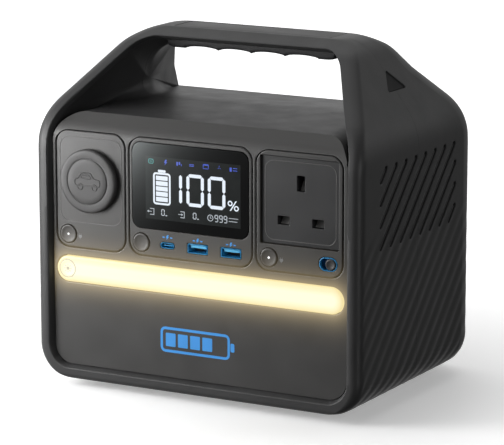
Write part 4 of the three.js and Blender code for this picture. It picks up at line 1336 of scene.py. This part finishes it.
def arrow_symbol(x, z, inward):
    """Square bracket with an arrow going in or coming out."""
    s = -1 if inward else 1
    bracket = [bar(x - 0.9, x + 1.9, z + 1.55, z + 1.95), bar(x - 0.9, x + 1.9, z - 1.95, z - 1.55),
               bar(x + 1.5, x + 1.9, z - 1.55, z + 1.55)]
    shaft = bar(x - 2.3, x + 0.2, z - 0.18, z + 0.18)
    tip_x = x + (0.9 if s < 0 else -2.9)
    tip = [Vector((tip_x, z)), Vector((tip_x + s * 1.1, z - 0.75)), Vector((tip_x + s * 1.1, z + 0.75))]
    return [*bracket, shaft, tip]


def build_power_figures(lit):
    """Row of readings below the large one: power out, power in and time left."""
    z, stroke, gap = 111.9, 0.5, 0.08
    shapes = arrow_symbol(-30.2, z, False) + arrow_symbol(-9.8, z, True)
    for left in (-23.6, -2.4):
        shapes += digit("0", left, z - 1.9, 2.4, 3.9, stroke, gap)
    for k in range(3):
        shapes += digit("9", 12.0 + 3.0 * k, z - 2.1, 2.4, 4.3, stroke, gap)
    shapes += bars(z, (-20.7, -19.6, -1.9, -1.3), (0.5, 1.6, -1.9, -1.3), (21.4, 27.6, 0.85, 1.2),
                   (21.4, 27.0, -0.95, -0.6), (9.05, 9.35, -0.1, 1.1), (9.05, 10.1, -0.25, 0.05))
    clock = band(circle(9.2, z, 1.75, 28), 0.4, lit, lit + 0.06)
    finish_piece(merged("figures", [decal("figures", shapes, lit), clock]), "power_figures",
                 MATERIALS["dim"])


SYMBOL_ROW_Z = 141.6


def build_status_symbol(lit):
    z = SYMBOL_ROW_Z
    frame_band = band(bar(-31.8, -28.8, z - 1.2, z + 1.2, 0.5), 0.4, lit, lit + 0.06)
    dash = decal("dash", bars(z, (-31.0, -29.6, -0.2, 0.2)), lit)
    finish_piece(merged("teal", [frame_band, dash]), "status_symbol", MATERIALS["teal"])


def propeller(x, z):
    """Three small blades round a centre."""
    blades = []
    for turn in (math.pi / 2, math.pi * 7 / 6, math.pi * 11 / 6):
        arms = ((1.5, turn), (0.4, turn + 0.5), (0.4, turn - 0.5))
        blades.append(polygon(x, z, [(r * math.cos(a), r * math.sin(a)) for r, a in arms]))
    return blades


def build_mode_symbols(lit):
    z = SYMBOL_ROW_Z
    bolt = [(-0.2, 1.6), (0.9, 1.6), (0.3, 0.3), (1.1, 0.3), (-0.7, -1.7), (-0.1, -0.3), (-0.9, -0.3)]
    shapes = [polygon(-20.5, z, bolt), *propeller(15.2, z + 0.2)]
    shapes += bars(z, (-13.2, -12.2, -1.1, 1.1), (-11.7, -10.7, -0.5, 1.1), (-10.2, -9.7, -1.1, 0),
                   (-4.6, -1.6, 0.1, 0.5), (-4.6, -1.6, -0.7, -0.3), (4.6, 8.0, 0.7, 1.3),
                   (22.0, 23.4, -1.3, 1.0), (24.2, 27.0, 0.5, 0.9), (24.2, 27.0, -0.9, -0.5))
    frame_band = band(bar(4.6, 8.0, z - 1.2, z + 1.3, 0.3), 0.35, lit, lit + 0.06)
    finish_piece(merged("row", [decal("row", shapes, lit), frame_band]), "mode_symbols",
                 MATERIALS["indigo"])


# ------------------------------------------------------------ ports and mains socket

def build_port_signs():
    """Small charging marks above the USB ports: a bolt between two bars."""
    z = 97.3
    bolt = [(-0.1, 1.5), (1.0, 1.5), (0.45, 0.3), (1.15, 0.3), (-0.75, -1.5), (-0.2, -0.25), (-0.95, -0.25)]
    shapes = []
    for node in PORTS:
        x = centre_of(node)[0]
        shapes.append(polygon(x, z, bolt))
        for left in (x - 3.2, x + 1.9):
            shapes.append(bar(left, left + 1.5, z - 0.35, z + 0.35, 0.2))
    finish_piece(decal("port signs", shapes, FRONT - 0.04, 0.1), "port_signs",
                 MATERIALS["print"])


def port_shell(node, radius, wall, steps):
    """Thin shell of a port, open to the front."""
    low, high = box_mm(node)
    outline = box_outline(low, high, radius, steps=steps)
    shell = lipped_plate("shell", outline, low.y, high.y, 0.15)
    return cut(shell, along_y("hollow", outline(wall), low.y - 1, high.y - 2))


def build_usb_a(k):
    """Port with its tongue and four contact strips."""
    port, tongue = f"usb_a_port_{k}", f"usb_a_tongue_{k}"
    finish_piece(weighted(smooth(port_shell(port, 0.6, 0.42, 4))), f"{port}_skin",
                 MATERIALS["port blue"], nodes=[port])
    low, high = box_mm(tongue)
    made = lipped_plate("tongue", box_outline(low, high, 0.35, steps=3), low.y, high.y, 0.25)
    finish_piece(weighted(smooth(made)), f"{tongue}_skin", MATERIALS["tongue blue"],
                 nodes=[tongue])
    strips = []
    for x in (centre_of(port)[0] + shift for shift in (-3.6, -1.2, 1.2, 3.6)):
        near, far = (x - 0.6, low.y + 0.8, low.z - 0.08), (x + 0.6, high.y - 2, low.z + 0.1)
        strips.append(block("strip", near, far))
    finish_piece(merged("strips", strips), f"{port}_contacts", MATERIALS["brass"])


def build_usb_c():
    low, high = box_mm("usb_c_port")
    x, z = centre_of("usb_c_port")
    shell = port_shell("usb_c_port", 1.65, 0.4, 8)
    outline = box_outline(Vector((x - 3.3, 0, z - 0.36)), Vector((x + 3.3, 0, z + 0.36)), 0.3, steps=3)
    tongue = lipped_plate("tongue", outline, low.y + 0.9, high.y - 1, 0.15)
    combine(shell, [tongue], "UNION")
    finish_piece(weighted(smooth(shell)), "usb_c_port_skin", MATERIALS["port blue"],
                 nodes=["usb_c_port"])


PINS = ("live", "neutral", "earth")


def build_mains_face():
    low, high = box_mm("ac_socket_face")
    face = lipped_plate("face", box_outline(low, high, 0.9), low.y, high.y, 0.3)
    holes = []
    for name in PINS:
        outline = box_outline(*box_mm(f"ac_contact_{name}"), 0.5, GAP)
        holes.append(lipped_hole("pin", outline, low.y, high.y + 1, 0.3))
    cut(face, *holes)
    finish_piece(weighted(smooth(face)), "ac_face_skin", MATERIALS["socket"],
                 nodes=["ac_socket_face"])
    # raised line in a lighter tint: painted highlight along its ridge
    line = ridge(rectangle(44.4, 89.9, 103.2, 149.2, 5.5), 0.55, low.y - 0.16, low.y + 0.02)
    finish_piece(smooth(line, 50), "ac_face_line", MATERIALS["line"])


def build_shutters():
    """Pale sloping shutter in the lower part of each pin hole."""
    behind = box_mm("ac_socket_face")[1].y + GAP + 1.2
    grow = GAP + 0.3
    for name in PINS:
        low, high = box_mm(f"ac_contact_{name}")
        base, top = low.z - grow, high.z + grow
        tilt, share = (4.2, 0.42) if name == "earth" else (2.6, 0.46)
        edge, rear = base + (top - base) * share + 1.4, behind + tilt + 1
        side = [Vector(p) for p in ((rear, base), (rear, edge), (rear - 1, edge), (behind, base))]
        shutter = along_x("shutter", side, low.x - grow, high.x + grow)
        finish_piece(smooth(shutter), f"{name}_shutter", MATERIALS["shutter"])


# ------------------------------------------------------------ light bar and signs

def build_light():
    """Lens with a rounded front, hollow behind, and a hole for its button."""
    low, high = box_mm("light_diffuser")
    outline = light_outline(steps=20)
    steps = ((2.2, -0.02), (1.5, 0.0), (0.8, 0.12), (0.35, 0.3), (0.1, 0.55), (0, 0.85))
    rings = [ring_y(outline(inset), low.y + drop) for inset, drop in steps]
    lens = loft("lens", [*rings, ring_y(outline(0), high.y)])
    hollow = along_y("hollow", outline(2), FRONT + 1, FRONT + 4)
    cut(lens, hollow, hole_round("light_button", 0.3, low.y))
    finish_piece(weighted(smooth(lens)), "light_lens", MATERIALS["lens"], nodes=["light_diffuser"])


def build_front_sign():
    """Battery pictogram below the light bar."""
    x, z, half, tall = -1.5, 36.4, 22.5, 6.8
    case = band(bar(x - half, x + half, z - tall, z + tall, 2.4), 1.6, FRONT - 0.05, FRONT + 0.08)
    cells = []
    count, space, inset = 5, 1.6, 2.8
    wide = (2 * (half - inset) - (count - 1) * space) / count
    for k in range(count - 1):
        left = x - half + inset + k * (wide + space)
        cells.append(bar(left, left + wide, z - tall + inset, z + tall - inset, 0.5))
    cells.append(bar(x + half + 1.2, x + half + 3.8, z - 2.6, z + 2.6, 0.8))
    finish_piece(merged("sign", [case, decal("cells", cells, FRONT - 0.05, 0.13)]), "front_battery_sign",
                 MATERIALS["print"])


# ------------------------------------------------------------ rear

def build_flap():
    """Flap over the inlet, rounded at its hinge, with two finger grooves."""
    low, high = box_mm("dc_inlet_flap")
    round_end = (high.y - low.y) / 2 - 0.02
    side = rounded_outline([
        (low.y, low.z, round_end), (high.y, low.z, round_end), (high.y, high.z, 0.6), (low.y, high.z, 0.6),
    ], 8)
    ends = ((0, 0.35), (0.12, 0.12), (0.4, 0))
    rings = [ring_x(grown(side, -inset), low.x + step) for step, inset in ends]
    rings += [ring_x(grown(side, -inset), high.x - step) for step, inset in reversed(ends)]
    grips = []
    for z in (high.z - 4.2, high.z - 2.9):
        grips.append(block("grip", (-6, high.y - 0.35, z), (6, high.y + 1, z + 0.6)))
    flap = cut(loft("flap", rings), *grips)
    finish_piece(weighted(smooth(flap)), "dc_flap_skin", MATERIALS["grip"], "dc_flap_body",
                 nodes=["dc_inlet_flap"])


# ------------------------------------------------------------ carried-over nodes

CARRIED = {
    "foot": ["foot_1", "foot_2", "foot_3", "foot_4"],
    "steel": [f"rear_screw_{k}" for k in range(1, 5)] + ["car_socket_barrel", "dc_inlet"],
    "brass": ["car_socket_contact", "ac_contact_live", "ac_contact_neutral", "ac_contact_earth"],
    "inner": ["ac_socket_housing", "cell_holder_front", "cell_holder_rear", "fan_frame", "fan_rotor"],
    "glass": ["lcd_panel"],
    "aluminium": ["heatsink"],
    "copper": ["transformer"],
    "board": ["battery_board", "inverter_board", "control_board", "led_strip"],
    "wrap": [f"cell_{k}" for k in range(1, 9)],
}


def dress_carried_nodes():
    """Welds, bevels and paints the CAD nodes that stay in view."""
    for material, names in CARRIED.items():
        for name in names:
            node = NODES[name]
            node.data.materials.clear()
            node.data.materials.append(MATERIALS[material])
            weld = node.modifiers.new("weld", "WELD")
            weld.merge_threshold = 2e-6
            flat = node.modifiers.new("flat faces", "DECIMATE")
            flat.decimate_type = "DISSOLVE"
            flat.angle_limit = math.radians(0.5)
            round_edges = node.modifiers.new("edges", "BEVEL")
            round_edges.width = 0.0002
            round_edges.segments = 2
            round_edges.limit_method = "ANGLE"
            round_edges.angle_limit = math.radians(50)


# ------------------------------------------------------------ studio

def add_area(name, place, aim, size, power, colour=(1, 1, 1)):
    data = bpy.data.lights.new(name, "AREA")
    data.shape = "RECTANGLE"
    data.size, data.size_y = size
    data.energy = power
    data.color = colour
    lamp = bpy.data.objects.new(name, data)
    bpy.context.scene.collection.objects.link(lamp)
    lamp.location = place
    lamp.rotation_mode = "QUATERNION"
    lamp.rotation_quaternion = (Vector(aim) - Vector(place)).to_track_quat("-Z", "Y")
    return lamp


def light_from(tree, direction, far, near):
    """Soft surroundings, brightest in one direction, and plain white where the camera sees them."""
    background = tree.nodes["Background"]
    place = tree.nodes.new("ShaderNodeTexCoord")
    dot = tree.nodes.new("ShaderNodeVectorMath")
    dot.operation = "DOT_PRODUCT"
    dot.inputs[1].default_value = direction
    tree.links.new(place.outputs["Generated"], dot.inputs[0])
    ramp = tree.nodes.new("ShaderNodeMapRange")
    ramp.interpolation_type = "SMOOTHSTEP"
    ramp.inputs["From Min"].default_value = -0.5
    ramp.inputs["From Max"].default_value = 1.0
    ramp.inputs["To Min"].default_value = far
    ramp.inputs["To Max"].default_value = near
    tree.links.new(dot.outputs["Value"], ramp.inputs["Value"])
    path = tree.nodes.new("ShaderNodeLightPath")
    seen = tree.nodes.new("ShaderNodeMath")
    seen.operation = "MAXIMUM"
    tree.links.new(path.outputs["Is Camera Ray"], seen.inputs[0])
    tree.links.new(ramp.outputs["Result"], seen.inputs[1])
    tree.links.new(seen.outputs["Value"], background.inputs["Strength"])
    background.inputs["Color"].default_value = (1, 1, 1, 1)


def build_studio():
    scene = bpy.context.scene
    scene.view_settings.view_transform = "Standard"
    world = bpy.data.worlds.new("studio")
    scene.world = world
    world.use_nodes = True
    light_from(world.node_tree, Vector((-0.93, 0.3, 0.2)).normalized(), 0.03, 0.9)

    floor_mesh = bpy.data.meshes.new("floor")
    reach = 12
    corners = [(-reach, -reach, 0), (reach, -reach, 0), (reach, reach, 0), (-reach, reach, 0)]
    floor_mesh.from_pydata(corners, [], [(0, 1, 2, 3)])
    floor = new_object("floor", floor_mesh)
    n = Nodes("pale floor")
    n.set(Base_Color=n.mix(n.spread(n.noise(60, 2), 0, 1), (0.9, 0.9, 0.9, 1), (0.93, 0.93, 0.93, 1)),
          Roughness=0.6)
    away = n.add("ShaderNodeVectorMath", operation="LENGTH")
    n.link(n.place, away.inputs[0])
    whiter = n.spread(away.outputs["Value"], 0.3, 0.8, 0.13, 0.45)
    n.set(Emission_Color=(1, 1, 1, 1), Emission_Strength=whiter)
    floor.data.materials.append(n.material)
    floor.visible_diffuse = floor.visible_glossy = False

    add_area("key", (-1.5, -1.3, 1.2), (0, 0, 0.1), (1.2, 1.0), 5)
    add_area("near", (-0.33, -0.31, 0.16), (-0.05, 0, 0.10), (0.22, 0.22), 2.1)
    add_area("side", (1.35, -0.75, 0.2), (0, 0, 0.1), (0.5, 1.0), 6)
    add_area("top", (0.0, 0.3, 1.9), (0, 0, 0.1), (1.5, 1.5), 4)
    add_area("rim", (1.6, 1.5, 0.9), (0, 0, 0.1), (0.8, 1.0), 5)


def build_camera():
    """Camera at the viewing angle of the picture, 504 by 445."""
    azimuth, elevation = math.radians(28.855), math.radians(11.973)
    distance, target = 1.834, Vector((0, 0, 0.0911))
    back = Vector((math.sin(azimuth) * math.cos(elevation), -math.cos(azimuth) * math.cos(elevation),
                   math.sin(elevation)))
    data = bpy.data.cameras.new("camera")
    data.sensor_width = 36
    data.lens = 218.66
    data.shift_x, data.shift_y = -0.01654, 0.01025
    data.clip_start, data.clip_end = 0.05, 60
    camera = bpy.data.objects.new("camera", data)
    bpy.context.scene.collection.objects.link(camera)
    camera.location = target + back * distance
    camera.rotation_mode = "QUATERNION"
    camera.rotation_quaternion = (-back).to_track_quat("-Z", "Y")
    bpy.context.scene.camera = camera


build_case()
build_louvres()
build_slot_shade_liners()
build_triangle_inlays()
build_handle_cover()
build_handle_grip()
build_front_panel()
build_rear_panel()
build_plates()
build_cap()
build_controls()
build_light_sign()
build_saver_slot()
build_saver_knob()
build_display()
build_port_signs()
build_usb_a(1)
build_usb_a(2)
build_usb_c()
build_mains_face()
build_shutters()
build_light()
build_front_sign()
build_flap()
dress_carried_nodes()
build_studio()
build_camera()
